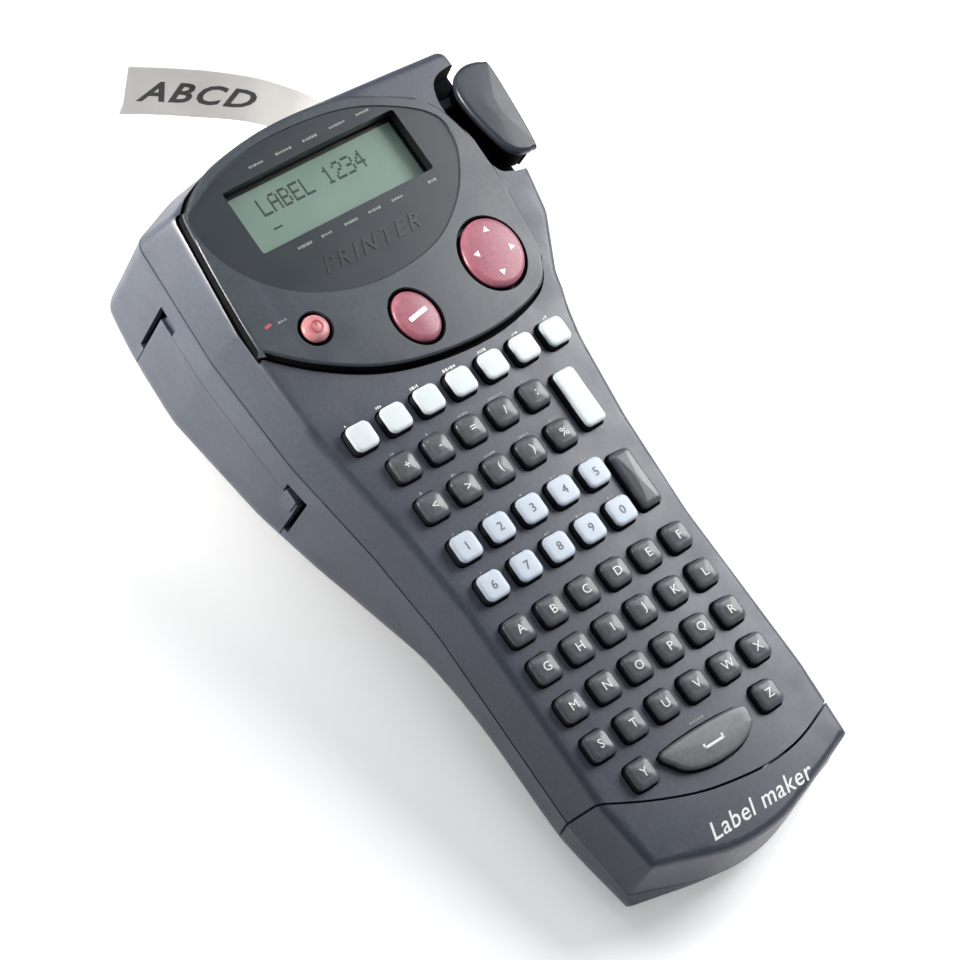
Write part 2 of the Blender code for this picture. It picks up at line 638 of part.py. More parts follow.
def make_space_bar():
    middle = (0.2, -50.4)
    body = [(x - middle[0], y - middle[1]) for x, y in SPACE]
    bm = bmesh.new()
    flange = inset(body, -1.0)
    add_stack(bm, [
        (flange, FLANGE_BOTTOM + 1.0), (flange, FLANGE_TOP + 1.0), (body, FLANGE_TOP + 1.0), (body, KEY_TOP - 2.0),
        (inset(body, 0.4), KEY_TOP - 1.0), (inset(body, 1.2), KEY_TOP - 0.6),
    ])
    link("key_space", finish_mesh("key_space", bm), PARTS, KEY_GREY, (*middle, -0.1))


def dome_levels(make_outline):
    """Button body: flange, sides and a domed top; make_outline(shrink) gives each ring."""
    return [
        (make_outline(2.5), -7.4), (make_outline(2.5), -3.4), (make_outline(-1.0), -3.4),
        (make_outline(-1.0), -2.8), (make_outline(0.0), -2.8),
        (make_outline(0.0), BUTTON_TOP - 1.4), (make_outline(0.5), BUTTON_TOP - 0.6),
        (make_outline(2.0), BUTTON_TOP - 0.1), (make_outline(3.2), BUTTON_TOP),
    ]


def make_buttons():
    for name, x, y, a, b, turn in (
        ("nav_pad", NAV_X, NAV_Y, NAV_A, NAV_B, NAV_TURN),
        ("button_print", PRINT_X, PRINT_Y, PRINT_A, PRINT_B, PRINT_TURN),
        ("button_power", POWER_X, POWER_Y, POWER_R, POWER_R, 0.0),
    ):
        bm = bmesh.new()
        add_stack(bm, dome_levels(lambda d: ellipse(0.0, 0.0, a - d, b - d, turn, 24)))
        obj = link(name, finish_mesh(name, bm), PARTS, MAROON, (x, y, 0.0))
        move_origin(obj, x, y, ROCK_Z)


# ---- display, board and mat -----------------------------------------------------------------------
def make_display():
    bm = bmesh.new()
    add_box(bm, SCREEN_X0 - 2.6, SCREEN_X1 + 2.6, SCREEN_Y0 - 2.6, SCREEN_Y1 + 2.6, -2.9, -2.1)
    link("display_window", finish_mesh("display_window", bm), PARTS, CLEAR)
    frame = ((SCREEN_X0 - 4.0, SCREEN_Y0 - 4.4), (SCREEN_X1 + 4.6, SCREEN_Y0 - 4.4),
             (SCREEN_X1 + 4.6, SCREEN_Y1 + 3.2), (SCREEN_X0 - 4.0, SCREEN_Y1 + 3.2))
    glass = ((SCREEN_X0 - 1.0, SCREEN_Y0 - 1.0), (SCREEN_X1 + 1.0, SCREEN_Y0 - 1.0),
             (SCREEN_X1 + 1.0, SCREEN_Y1 + 1.0), (SCREEN_X0 - 1.0, SCREEN_Y1 + 1.0))
    bm = bmesh.new()
    add_stack(bm, [(frame, -8.0), (frame, -4.9), (glass, -4.9), (glass, -3.2)])
    link("lcd_module", finish_mesh("lcd_module", bm), PARTS, LCD_GREEN)


def make_board():
    outline = (
        (-31.5, -53.0), (31.5, -53.0), (31.5, 66.0), (40.0, 80.0), (42.5, 100.0), (42.5, 114.0),
        (-38.0, 114.0), (-38.0, 80.0), (-31.5, 66.0),
    )
    obj = block("main_board", outline, BOARD_BOTTOM, BOARD_TOP, PARTS, BOARD_GREEN)
    bm = bmesh.new()
    for x, y, w, d in ((-18.0, 98.0, 12.0, 12.0), (6.0, 98.0, 16.0, 9.0), (24.0, 104.0, 6.0, 6.0)):
        add_box(bm, x - w / 2, x + w / 2, y - d / 2, y + d / 2, BOARD_BOTTOM - 1.6, BOARD_BOTTOM + 0.2)
    combine(obj, cutter("add_chips", bm), "UNION")


def make_mat():
    outline = ((-32.0, -54.5), (32.0, -54.5), (32.0, 60.0), (37.5, 60.0), (37.5, 68.0), (-37.5, 68.0),
               (-37.5, 60.0), (-32.0, 60.0))
    obj = block("keypad_mat", outline, MAT_BOTTOM, MAT_TOP, PARTS, SILICONE)
    bm = bmesh.new()
    spots = [(x, y) for _, x, y, _ in single_keys()]
    spots += [(x, y) for _, y, row in letter_rows() for x in row]
    spots += [(TALL_X, y) for _, y, _ in TALL_KEYS] + [(0.0, -50.0)]
    for x, y in spots:
        add_stack(bm, [(circle(x, y, 2.6, 6), MAT_BOTTOM + 0.2), (circle(x, y, 2.6, 6), MAT_TOP),
                       (circle(x, y, 1.8, 6), DOME_TOP)])
    combine(obj, cutter("add_domes", bm), "UNION")


# ---- tape path and cutter -------------------------------------------------------------------------
def make_tape():
    sections = []
    path = [Vector(p) for p in TAPE_PATH]
    fine = []
    last = len(path) - 1
    for i in range(last):
        p0, p1 = path[max(0, i - 1)], path[i]
        p2, p3 = path[i + 1], path[min(last, i + 2)]
        for k in range(2):
            t = k / 2.0
            fine.append(0.5 * (2 * p1 + (p2 - p0) * t + (2 * p0 - 5 * p1 + 4 * p2 - p3) * t * t
                               + (3 * p1 - p0 - 3 * p2 + p3) * t * t * t))
    fine.append(path[-1])
    for i, here in enumerate(fine):
        square = 0.0 if i < len(fine) - 1 else TAPE_SLANT
        along = (fine[min(i + 1, len(fine) - 1)] - fine[max(i - 1, 0)]).normalized().to_3d()
        side = Vector((-along.y, along.x, 0.0)) * (0.5 * TAPE_THICK)
        lean = TAPE_LEAN * min(1.0, max(0.0, (here.y - TAPE_LEAN_Y) / 30.0))
        up = Vector((0.0, math.sin(lean), math.cos(lean))) * TAPE_HALF
        centre = Vector((here.x, here.y, TAPE_Z))
        back = along * square
        sections.append([centre - up - side, centre + up - side - back, centre + up + side - back, centre - up + side])
    bm = bmesh.new()
    rings = [[bm.verts.new(p) for p in section] for section in sections]
    bm.faces.new(rings[0])
    for a, b in zip(rings, rings[1:]):
        for i in range(4):
            j = (i + 1) % 4
            bm.faces.new((a[j], a[i], b[i], b[j]))
    bm.faces.new(list(reversed(rings[-1])))
    link("label_tape", finish_mesh("label_tape", bm), PARTS, PAPER)


def make_lever():
    px, py = LEVER_PIVOT
    local = [(x - px, y - py) for x, y in LEVER_OUTLINE]
    bm = bmesh.new()
    add_stack(bm, [
        (inset(local, 0.8), LEVER_BOTTOM), (local, LEVER_BOTTOM + 0.8), (local, LEVER_TOP - 2.4),
        (inset(local, 0.5), LEVER_TOP - 1.1), (inset(local, 1.5), LEVER_TOP - 0.3), (inset(local, 2.6), LEVER_TOP),
    ])
    obj = link("cutter_lever", finish_mesh("cutter_lever", bm), PARTS, SLATE, (px, py, 0.0))
    bm = bmesh.new()
    add_box(bm, 45.0 - px, 55.0 - px, 134.0 - py, 136.6 - py, -7.8, -5.2)
    arm = cutter("add_lever_arm", bm)
    arm.location = obj.location
    combine(obj, arm, "UNION")
    bm = bmesh.new()
    add_tube(bm, "z", 0.0, 0.0, LEVER_BOTTOM - 1.0, LEVER_TOP - 2.6, 1.7, 20)
    bore = cutter("cut_lever_bore", bm)
    bore.location = obj.location
    combine(obj, bore, "DIFFERENCE")
    bm = bmesh.new()
    add_tube(bm, "z", 0.0, 0.0, LEVER_BOTTOM - 1.0, LEVER_BOTTOM + 4.4, 3.4, 20)
    room = cutter("cut_spring_room", bm)
    room.location = obj.location
    combine(obj, room, "DIFFERENCE")


def lever_pin():
    bm = bmesh.new()
    add_tube(bm, "z", LEVER_PIVOT[0], LEVER_PIVOT[1], LEVER_POCKET_FLOOR - 1.0, LEVER_TOP - 3.4, 1.35, 20)
    return cutter("add_lever_pin", bm)


def make_spring():
    """Torsion coil round the lever's pin: a Screw of a small round profile."""
    turns, wire, coil = 3, 0.4, 2.5
    bm = bmesh.new()
    ring = [bm.verts.new((coil + wire * math.cos(2 * math.pi * i / 8), 0.0, wire * math.sin(2 * math.pi * i / 8)))
            for i in range(8)]
    for i in range(8):
        bm.edges.new((ring[i], ring[(i + 1) % 8]))
    bmesh.ops.scale(bm, vec=(MM, MM, MM), verts=bm.verts)
    profile = bpy.data.meshes.new("spring_profile")
    bm.to_mesh(profile)
    bm.free()
    steps = 14 * turns
    bm = bmesh.new()
    rings = []
    for k in range(steps + 1):
        angle = 2.0 * math.pi * turns * k / steps
        rise = 3.0 * k / steps
        c, s = math.cos(angle), math.sin(angle)
        rings.append([bm.verts.new((v.co.x * c / MM, v.co.x * s / MM, v.co.z / MM + rise)) for v in profile.vertices])
    bm.faces.new(rings[0])
    for a, b in zip(rings, rings[1:]):
        for i in range(8):
            j = (i + 1) % 8
            bm.faces.new((a[j], a[i], b[i], b[j]))
    bm.faces.new(list(reversed(rings[-1])))
    link("cutter_spring", finish_mesh("cutter_spring", bm, True), PARTS, STEEL,
         (LEVER_PIVOT[0], LEVER_PIVOT[1], LEVER_BOTTOM + 0.6))


def make_blade():
    """Sliding carriage with the blade at its left edge."""
    bm = bmesh.new()
    add_box(bm, 41.0, 44.2, 142.6, 145.4, -50.0, -5.0)
    obj = link("cutter_blade", finish_mesh("cutter_blade", bm), PARTS, STEEL)
    bm = bmesh.new()
    outline = ((39.1, 143.9), (41.4, 143.4), (41.4, 144.6))
    add_stack(bm, [(outline, -50.0), (outline, -29.9)])
    combine(obj, cutter("add_blade_edge", bm), "UNION")
    bm = bmesh.new()
    add_box(bm, 41.4, 44.2, 133.6, 144.0, -8.0, -5.0)
    combine(obj, cutter("add_blade_foot", bm), "UNION")


# ---- drive ----------------------------------------------------------------------------------------
def gear_outline(teeth, phase):
    """Involute-like outline with loose teeth, round the gear's own middle."""
    pitch = 0.5 * MODULE * teeth
    tip, root = pitch + 0.80 * MODULE, pitch - 1.15 * MODULE
    step = 2.0 * math.pi / teeth
    points = []
    for i in range(teeth):
        at = phase + i * step
        for radius, share in ((root, -0.29), (tip, -0.11), (tip, 0.11), (root, 0.29)):
            points.append((radius * math.cos(at + share * step), radius * math.sin(at + share * step)))
    return points


def mesh_phase(x0, y0, teeth0, phase0, x1, y1, teeth1):
    """Phase that puts a gap of the second gear over a tooth of the first."""
    toward = math.atan2(y1 - y0, x1 - x0)
    step0, step1 = 2.0 * math.pi / teeth0, 2.0 * math.pi / teeth1
    offset = (toward - phase0) / step0
    return toward + math.pi + (offset + 0.5) * step1


def make_gear(name, x, y, teeth, phase, z0, z1, bore, hub):
    bm = bmesh.new()
    add_stack(bm, [(gear_outline(teeth, phase), z0), (gear_outline(teeth, phase), z1)])
    obj = link(name, finish_mesh(name, bm), PARTS, ACETAL, (x, y, 0.0))
    if hub:
        bm = bmesh.new()
        add_tube(bm, "z", 0.0, 0.0, z0 + 0.5, z1 + hub, bore + 1.3, 20)
        boss = cutter(f"add_hub_{name}", bm)
        boss.location = obj.location
        combine(obj, boss, "UNION")
    bm = bmesh.new()
    add_tube(bm, "z", 0.0, 0.0, z0 - 2.0, z1 + 6.0, bore, 20)
    hole = cutter(f"cut_bore_{name}", bm)
    hole.location = obj.location
    combine(obj, hole, "DIFFERENCE")
    return obj


def make_drive():
    idler_phase = 0.0
    platen_phase = mesh_phase(IDLER_X, IDLER_Y, IDLER_TEETH, idler_phase, PLATEN_X, PLATEN_Y, PLATEN_TEETH)
    pinion_phase = mesh_phase(IDLER_X, IDLER_Y, IDLER_TEETH, idler_phase, PINION_X, PINION_Y, PINION_TEETH)
    make_gear("idler_gear", IDLER_X, IDLER_Y, IDLER_TEETH, idler_phase, GEAR_Z0, GEAR_Z1, 1.55, 1.0)
    make_gear("platen_gear", PLATEN_X, PLATEN_Y, PLATEN_TEETH, platen_phase, GEAR_Z0, GEAR_Z1, 1.55, 0.0)
    make_gear("motor_pinion", PINION_X, PINION_Y, PINION_TEETH, pinion_phase, GEAR_Z0, GEAR_Z1, 0.85, 0.0)
    shaft = 1.2
    turned("platen_roller", (
        (0.0, -22.6), (shaft, -22.6), (shaft, -30.4), (PLATEN_R, -30.4), (PLATEN_R, -49.6), (shaft, -49.6),
        (shaft, -50.6), (0.0, -50.6),
    ), (PLATEN_X, PLATEN_Y, 0.0), RUBBER)
    turned("motor", (
        (0.0, -12.6), (9.9, -12.6), (10.5, -13.2), (10.5, -23.0), (3.0, -23.0), (3.0, -23.8), (0.6, -23.8),
        (0.6, -27.2), (0.0, -27.2),
    ), (PINION_X, PINION_Y, 0.0), STEEL, 28)


def make_chassis():
    outline = ((-38.0, 112.0), (44.0, 112.0), (47.0, 116.0), (47.0, 141.0), (-38.0, 141.0))
    obj = block("mechanism_chassis", outline, CHASSIS_BOTTOM, CHASSIS_TOP, PARTS, BLACK)
    bm = bmesh.new()
    add_tube(bm, "z", IDLER_X, IDLER_Y, CHASSIS_TOP - 0.6, GEAR_Z1 + 1.6, 1.2)
    for x, y in ((-34.8, 118.4), (-34.8, 134.0)):
        add_tube(bm, "z", x, y, CHASSIS_TOP - 0.6, -5.0, 2.6, 16)
    add_box(bm, 31.8, 35.4, 141.0 - 0.5, 146.0, -50.4, CHASSIS_TOP)
    combine(obj, cutter("add_chassis_posts", bm), "UNION")
    bm = bmesh.new()
    add_tube(bm, "z", PLATEN_X, PLATEN_Y, CHASSIS_BOTTOM - 1.0, CHASSIS_TOP + 1.0, 1.6)
    add_box(bm, TAPE_X - 0.3, 50.0, 139.0, 150.0, CHASSIS_BOTTOM - 1.0, CHASSIS_TOP + 1.0)
    combine(obj, cutter("cut_chassis", bm), "DIFFERENCE")
    bm = bmesh.new()
    add_box(bm, 30.6, 34.6, 127.0, 139.0, -50.2, CHASSIS_BOTTOM - 0.3)
    head = link("print_head", finish_mesh("print_head", bm), PARTS, STEEL)
    bm = bmesh.new()
    add_box(bm, 34.2, 35.5, 131.6, 134.4, -50.0, -30.2)
    combine(head, cutter("add_heater", bm), "UNION")


def make_cassette():
    outline = ((-38.0, 79.0), (24.0, 79.0), (30.0, 85.0), (30.0, 122.0), (26.0, 126.0), (-38.0, 126.0))
    obj = block("tape_cassette", outline, -51.6, -30.0, PARTS, BLACK)
    bm = bmesh.new()
    add_tube(bm, "z", -18.0, 99.0, -60.0, -48.0, 15.0, 24)
    add_tube(bm, "z", 14.0, 90.0, -60.0, -48.0, 8.0, 20)
    add_box(bm, 26.4, 34.0, 114.6, 121.8, -50.4, -29.8)
    combine(obj, cutter("cut_cassette", bm), "DIFFERENCE")
    spool = turned("tape_spool", ((0.0, -48.3), (14.2, -48.3), (14.2, -51.4), (0.0, -51.4)),
                   (-18.0, 99.0, 0.0), ACETAL)
    bm = bmesh.new()
    add_tube(bm, "z", -18.0, 99.0, -60.0, -40.0, 4.0, 6)
    combine(spool, cutter("cut_spool", bm), "DIFFERENCE")


# ---- doors and batteries --------------------------------------------------------------------------
def make_cassette_door():
    obj = link("cassette_door", SKIN.copy(), PARTS, SLATE)
    combine(obj, CUT_HOLLOW, "DIFFERENCE")
    combine(obj, box_cutter("keep_door", -90.0, 90.0, DOOR_Y0, DOOR_Y1, -90.0, DOOR_Z), "INTERSECT")
    bm = bmesh.new()
    for y0, y1 in ((DOOR_Y1 - 5.0, DOOR_Y1 - 0.6), (DOOR_Y0 + 0.6, DOOR_Y0 + 5.0)):
        add_box(bm, LATCH_X - 1.6, LATCH_X + 2.0, y0, y1, -33.0, -26.1)
    combine(obj, cutter("add_latch_tabs", bm), "UNION")
    move_origin(obj, 0.0, 0.5 * (DOOR_Y0 + DOOR_Y1), DOOR_Z)
    return obj


def make_battery_door():
    obj = link("battery_door", SKIN.copy(), PARTS, SLATE)
    combine(obj, CUT_HOLLOW, "DIFFERENCE")
    combine(obj, box_cutter("keep_battery_door", -BATTERY_DOOR_X, BATTERY_DOOR_X, BATTERY_DOOR_Y0, BATTERY_DOOR_Y1,
                            -90.0, -22.3), "INTERSECT")
    move_origin(obj, 0.0, BATTERY_DOOR_Y1 + 0.5 * GAP, floor_z(BATTERY_DOOR_Y1))
    return obj


def make_batteries():
    for i in range(4):
        end = 1 if i % 2 == 0 else -1
        half = 0.5 * BATTERY_LENGTH
        rim = BATTERY_R - 0.6
        profile = (
            (0.0, half), (2.7, half), (2.7, half - 1.2), (rim, half - 1.2), (BATTERY_R, half - 1.8),
            (BATTERY_R, -half + 0.6), (rim, -half), (0.0, -half),
        )
        place = ((i - 1.5) * BATTERY_PITCH, BATTERY_Y, BATTERY_Z)
        obj = turned(f"battery_{i + 1}", profile, place, CELL, 20)
        obj.rotation_euler = (-math.radians(90.0) * end, 0.0, 0.0)


def make_contacts():
    half = 0.5 * BATTERY_LENGTH
    for name, y, side in (("contacts_front", BATTERY_Y + half + 0.4, 1), ("contacts_rear", BATTERY_Y - half - 1.2, -1)):
        bm = bmesh.new()
        add_box(bm, -29.0, 29.0, y, y + 0.8, BATTERY_Z - 5.6, BATTERY_Z + 5.6)
        obj = link(name, finish_mesh(name, bm), PARTS, STEEL)
        bm = bmesh.new()
        for i in range(4):
            x = (i - 1.5) * BATTERY_PITCH
            start, end = sorted((y + 0.4, y + 0.4 + side * 2.2))
            add_tube(bm, "y", x, BATTERY_Z, start, end, 3.4, 12)
        combine(obj, cutter(f"add_springs_{name}", bm), "UNION")


# ---- assembly -------------------------------------------------------------------------------------
def stand_up():
    """Tilts the finished assembly so that its underside is level."""
    rise = -(REST_Y * math.sin(TILT) + REST_Z * math.cos(TILT)) * MM
    belly = REST_Z + (REST_Y - ORIGIN_Y) * math.tan(TILT)
    slide = -(ORIGIN_Y * math.cos(TILT) - belly * math.sin(TILT)) * MM
    move = Matrix.Translation((0.0, slide, rise)) @ Matrix.Rotation(TILT, 4, "X")
    bpy.context.view_layer.update()
    for obj in list(PARTS.objects) + list(CUTTERS.objects):
        obj.matrix_world = move @ obj.matrix_world


combine(upper_case(), lever_pin(), "UNION")
lower_case()
end_cap()
head_fascia()
make_keys()
make_letter_rows()
make_space_bar()
make_buttons()
make_display()
make_board()
make_mat()
make_tape()
make_lever()
make_spring()
make_blade()
make_drive()
make_chassis()
make_cassette()
make_cassette_door()
make_battery_door()
make_batteries()
make_contacts()
stand_up()
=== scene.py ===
"""Looks of the hand-held label maker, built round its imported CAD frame.

Shapes are drawn in the frame of the keypad face, in millimetres (x along the key rows, y towards the head,
z out of the face), and FACE turns that frame into the row frame.
"""
import math
import random

import bmesh
import bpy
from mathutils import Matrix, Vector


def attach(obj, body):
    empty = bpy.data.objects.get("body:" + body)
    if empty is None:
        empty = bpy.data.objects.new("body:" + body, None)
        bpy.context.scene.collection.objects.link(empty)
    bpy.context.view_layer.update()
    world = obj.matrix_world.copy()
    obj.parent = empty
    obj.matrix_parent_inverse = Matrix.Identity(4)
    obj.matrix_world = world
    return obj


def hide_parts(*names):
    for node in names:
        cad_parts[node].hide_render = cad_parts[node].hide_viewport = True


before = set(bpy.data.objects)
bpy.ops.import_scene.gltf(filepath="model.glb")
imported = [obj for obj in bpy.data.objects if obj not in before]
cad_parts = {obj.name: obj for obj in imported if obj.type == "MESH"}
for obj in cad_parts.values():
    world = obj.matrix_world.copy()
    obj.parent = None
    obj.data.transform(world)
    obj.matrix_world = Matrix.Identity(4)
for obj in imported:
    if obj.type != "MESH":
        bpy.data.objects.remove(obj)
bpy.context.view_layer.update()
random.seed(7)

# ---- dimensions shared with the CAD, millimetres ---------------------------------------------------
TILT = math.radians(10.8)
ORIGIN_Y = 58.0
REST_Y, REST_Z = 107.0, -60.5
SEAM_Z = -16.5
CROWN_GRIP, CROWN_HEAD = 1.3, 0.65
CROWN_Y0, CROWN_Y1 = 69.0, 74.0
WALL, CEILING_Z = 2.2, -3.5
FLOOR_REF, FLOOR_ZONE = -60.0, 7.0
HOLLOW, HOLLOW_Y0, HOLLOW_Y1 = 6.8, -60.0, 54.0
HEAD_RISE = 2.5
PLAN = (
    (-35.6, -70.4, 2.4), (-2.0, -81.8, 90.0), (39.4, -68.4, 3.0), (40.6, -45.0, 40.0), (39.0, 5.0, 60.0),
    (40.5, 35.0, 60.0), (43.6, 60.0, 40.0), (48.6, 78.0, 14.0), (57.6, 94.0, 14.0), (60.8, 108.0, 12.0),
    (60.2, 150.8, 5.0), (10.0, 152.6, 90.0), (-28.0, 149.4, 40.0), (-46.0, 142.5, 5.0), (-47.8, 104.0, 14.0),
    (-46.0, 70.0, 60.0), (-41.0, 38.0, 60.0), (-38.5, 12.0, 60.0), (-38.5, -48.0, 30.0),
)
LEAN_IN = {12: (1.0, -0.8), 13: (3.4, -1.0), 14: (1.0, 0.0)}
FLARE = {0: (-0.4, -3.0), 1: (0.0, 0.6), 2: (0.8, -1.4)}
FASCIA = (
    (-44.0, 98.6), (-42.2, 94.8), (-32.0, 86.0), (-18.0, 77.8), (-3.0, 73.4), (14.0, 71.8), (29.0, 73.4),
    (39.5, 77.8), (44.6, 87.0), (46.4, 99.0), (47.4, 111.0), (46.6, 124.0), (42.5, 135.5), (33.0, 142.3),
    (17.0, 148.4), (-4.0, 149.6), (-22.0, 147.2), (-31.4, 143.8), (-38.0, 139.0), (-40.6, 134.4),
)
LENS = (
    (-39.6, 134.6), (-36.8, 120.0), (-26.8, 107.4), (-12.0, 100.0), (4.0, 98.2), (20.0, 101.2),
    (33.0, 110.0), (41.0, 121.6), (41.4, 131.0), (32.0, 138.6), (17.0, 144.4), (-4.0, 146.2),
    (-21.0, 144.2), (-33.6, 139.6),
)
FASCIA_TOP, FASCIA_BOTTOM, FASCIA_DOME, LENS_DEPTH = 2.6, -1.7, 0.9, 0.5
SCREEN_X0, SCREEN_X1, SCREEN_Y0, SCREEN_Y1 = -26.5, 31.3, 118.8, 138.5
COLUMN = 11.0
ROW_Y = (63.8, 51.5, 38.8, 25.4, 13.2, 0.0, -11.8, -23.8, -35.7, -47.6)
KEY_TOP, CAP, CAP_HOLE, FLANGE = 3.2, 7.6, 8.3, 9.8
FLANGE_TOP, FLANGE_BOTTOM = -4.9, -5.9
TALL_X, TALL_HALF = 27.2, 8.6
CORNER_KEY_X = 22.0
SPACE = (
    (-13.6, -45.6), (-12.9, -50.6), (-9.6, -53.6), (-4.0, -55.2), (1.4, -55.5), (7.0, -54.9),
    (11.8, -52.9), (13.8, -50.4), (11.4, -45.8),
)
NAV = (30.6, 90.4, 8.9, 10.3, -14.0)
PRINT = (0.0, 84.8, 6.2, 7.8, 8.0)
POWER = (-26.8, 94.6, 3.9, 3.9, 0.0)
BUTTON_TOP = 3.9
LEVER = (
    (57.0, 111.2), (60.4, 110.8), (62.4, 113.2), (64.6, 135.8), (63.0, 139.2), (58.0, 140.4),
    (53.6, 139.0), (50.8, 134.8), (50.4, 128.4), (51.8, 119.8), (53.8, 113.8),
)
LEVER_ROOM = (
    (53.0, 109.0), (59.0, 108.0), (74.0, 108.6), (76.0, 126.0), (74.0, 143.0), (59.6, 143.6),
    (50.4, 142.2), (46.8, 136.8), (46.4, 128.4), (47.8, 118.0), (49.6, 111.2),
)
LEVER_PIVOT = (58.0, 115.6)
LEVER_TOP, LEVER_BOTTOM, POCKET_FLOOR = 3.4, -8.6, -10.6
TAPE_X, TAPE_Z, TAPE_HALF, TAPE_THICK = 36.0, -40.0, 9.5, 0.3
TAPE_PATH = (
    (28.6, 117.6), (32.6, 120.6), (35.0, 124.8), (36.0, 129.4), (36.0, 136.0), (36.0, 143.0), (36.0, 150.0),
    (34.9, 156.0), (31.6, 162.0), (27.0, 167.0), (21.4, 172.0), (14.0, 177.0), (5.6, 182.0), (-1.6, 186.0),
    (-10.4, 190.4),
)
TAPE_LEAN, TAPE_LEAN_Y, TAPE_SLANT = math.radians(15.0), 150.0, 3.4
DOOR_Y0, DOOR_Y1, DOOR_Z = 62.3, 124.2, -28.3
LATCH_X = -43.6
BDOOR_Y0, BDOOR_Y1, BDOOR_X = -45.0, 14.0, 29.3
CHIN_SEAM = (
    (-60.0, -35.0), (-38.0, -46.9), (-30.0, -51.2), (-22.0, -55.0), (-12.0, -58.8), (-3.0, -61.0),
    (9.0, -62.6), (18.0, -62.4), (26.0, -61.0), (36.0, -57.6), (42.0, -54.9), (60.0, -46.0),
)

BELLY = REST_Z + (REST_Y - ORIGIN_Y) * math.tan(TILT)
RISE = -(REST_Y * math.sin(TILT) + REST_Z * math.cos(TILT))
SLIDE = -(ORIGIN_Y * math.cos(TILT) - BELLY * math.sin(TILT))
FACE = (
    Matrix.Scale(0.001, 4) @ Matrix.Translation((0.0, SLIDE, RISE)) @ Matrix.Rotation(TILT, 4, "X")
)


# ---- camera, lights and floor ----------------------------------------------------------------------
def make_camera():
    data = bpy.data.cameras.new("camera")
    data.sensor_width = 36.0
    data.lens = 142.5
    data.clip_start = 0.01
    data.clip_end = 20.0
    camera = bpy.data.objects.new("camera", data)
    bpy.context.scene.collection.objects.link(camera)
    camera.matrix_world = Matrix((
        (0.7571, 0.4285, -0.4932, -0.4955), (-0.6161, 0.7196, -0.3205, -0.3430),
        (0.2175, 0.5465, 0.8087, 0.8410), (0.0, 0.0, 0.0, 1.0),
    ))
    bpy.context.scene.camera = camera


def area_light(name, place, target, size, energy, colour=(1.0, 1.0, 1.0)):
    data = bpy.data.lights.new(name, "AREA")
    data.shape = "DISK"
    data.size = size
    data.energy = energy
    data.color = colour
    lamp = bpy.data.objects.new(name, data)
    bpy.context.scene.collection.objects.link(lamp)
    lamp.location = place
    lamp.rotation_mode = "QUATERNION"
    lamp.rotation_quaternion = (Vector(target) - Vector(place)).to_track_quat("-Z", "Y")
    return lamp


def make_stage():
    bm = bmesh.new()
    bmesh.ops.create_grid(bm, x_segments=8, y_segments=8, size=6.0)
    mesh = bpy.data.meshes.new("floor")
    bm.to_mesh(mesh)
    bm.free()
    floor = bpy.data.objects.new("floor", mesh)
    bpy.context.scene.collection.objects.link(floor)
    floor.location = (0.0, 0.0, -0.0001)
    material = bpy.data.materials.new("floor_paper")
    material.use_nodes = True
    shader = material.node_tree.nodes["Principled BSDF"]
    shader.inputs["Base Color"].default_value = (0.93, 0.93, 0.93, 1.0)
    shader.inputs["Roughness"].default_value = 0.9
    shader.inputs["Specular IOR Level"].default_value = 0.1
    shader.inputs["Emission Color"].default_value = (1.0, 1.0, 1.0, 1.0)
    shader.inputs["Emission Strength"].default_value = 0.28
    mesh.materials.append(material)
    world = bpy.data.worlds.new("studio")
    world.use_nodes = True
    background = world.node_tree.nodes["Background"]
    background.inputs["Color"].default_value = (0.92, 0.96, 1.0, 1.0)
    background.inputs["Strength"].default_value = 0.36
    bpy.context.scene.world = world
    area_light("softbox", (0.44, -0.03, 0.40), (0.03, -0.05, 0.03), 0.36, 3.9)
    area_light("top_light", (0.10, 0.55, 1.10), (0.0, 0.0, 0.0), 0.6, 3.0)
    side = area_light("side_light", (-0.34, 0.22, 0.12), (-0.049, 0.092, 0.050), 0.12, 0.23, (1.0, 0.96, 0.91))
    side.data.spread = math.radians(40.0)
    bpy.context.scene.view_settings.view_transform = "Standard"


# ---- materials -------------------------------------------------------------------------------------
def tree_of(name):
    """A new material, its nodes, its shader and the object coordinates."""
    material = bpy.data.materials.new(name)
    material.use_nodes = True
    tree = material.node_tree
    place = node(tree, "ShaderNodeTexCoord").outputs["Object"]
    return material, tree, tree.nodes["Principled BSDF"], place


def node(tree, kind, **values):
    made = tree.nodes.new(kind)
    for key, value in values.items():
        if key in made.inputs:
            made.inputs[key].default_value = value
        else:
            setattr(made, key, value)
    return made


def noise_at(tree, coordinates, scale, detail=2.0, roughness=0.5):
    made = node(tree, "ShaderNodeTexNoise")
    made.inputs["Scale"].default_value = scale
    made.inputs["Detail"].default_value = detail
    made.inputs["Roughness"].default_value = roughness
    tree.links.new(coordinates, made.inputs["Vector"])
    return made.outputs["Fac"]


def ramp(tree, source, stops):
    made = node(tree, "ShaderNodeValToRGB")
    elements = made.color_ramp.elements
    while len(elements) < len(stops):
        elements.new(0.5)
    for element, (position, colour) in zip(elements, stops):
        element.position = position
        element.color = (*colour, 1.0)
    tree.links.new(source, made.inputs["Fac"])
    return made.outputs["Color"]


def mix(tree, factor, a, b, blend="MIX"):
    made = node(tree, "ShaderNodeMix", data_type="RGBA", blend_type=blend)
    for value, socket in ((factor, made.inputs[0]), (a, made.inputs[6]), (b, made.inputs[7])):
        if isinstance(value, (int, float)):
            socket.default_value = value
        elif isinstance(value, tuple):
            socket.default_value = (*value, 1.0)
        else:
            tree.links.new(value, socket)
    return made.outputs[2]


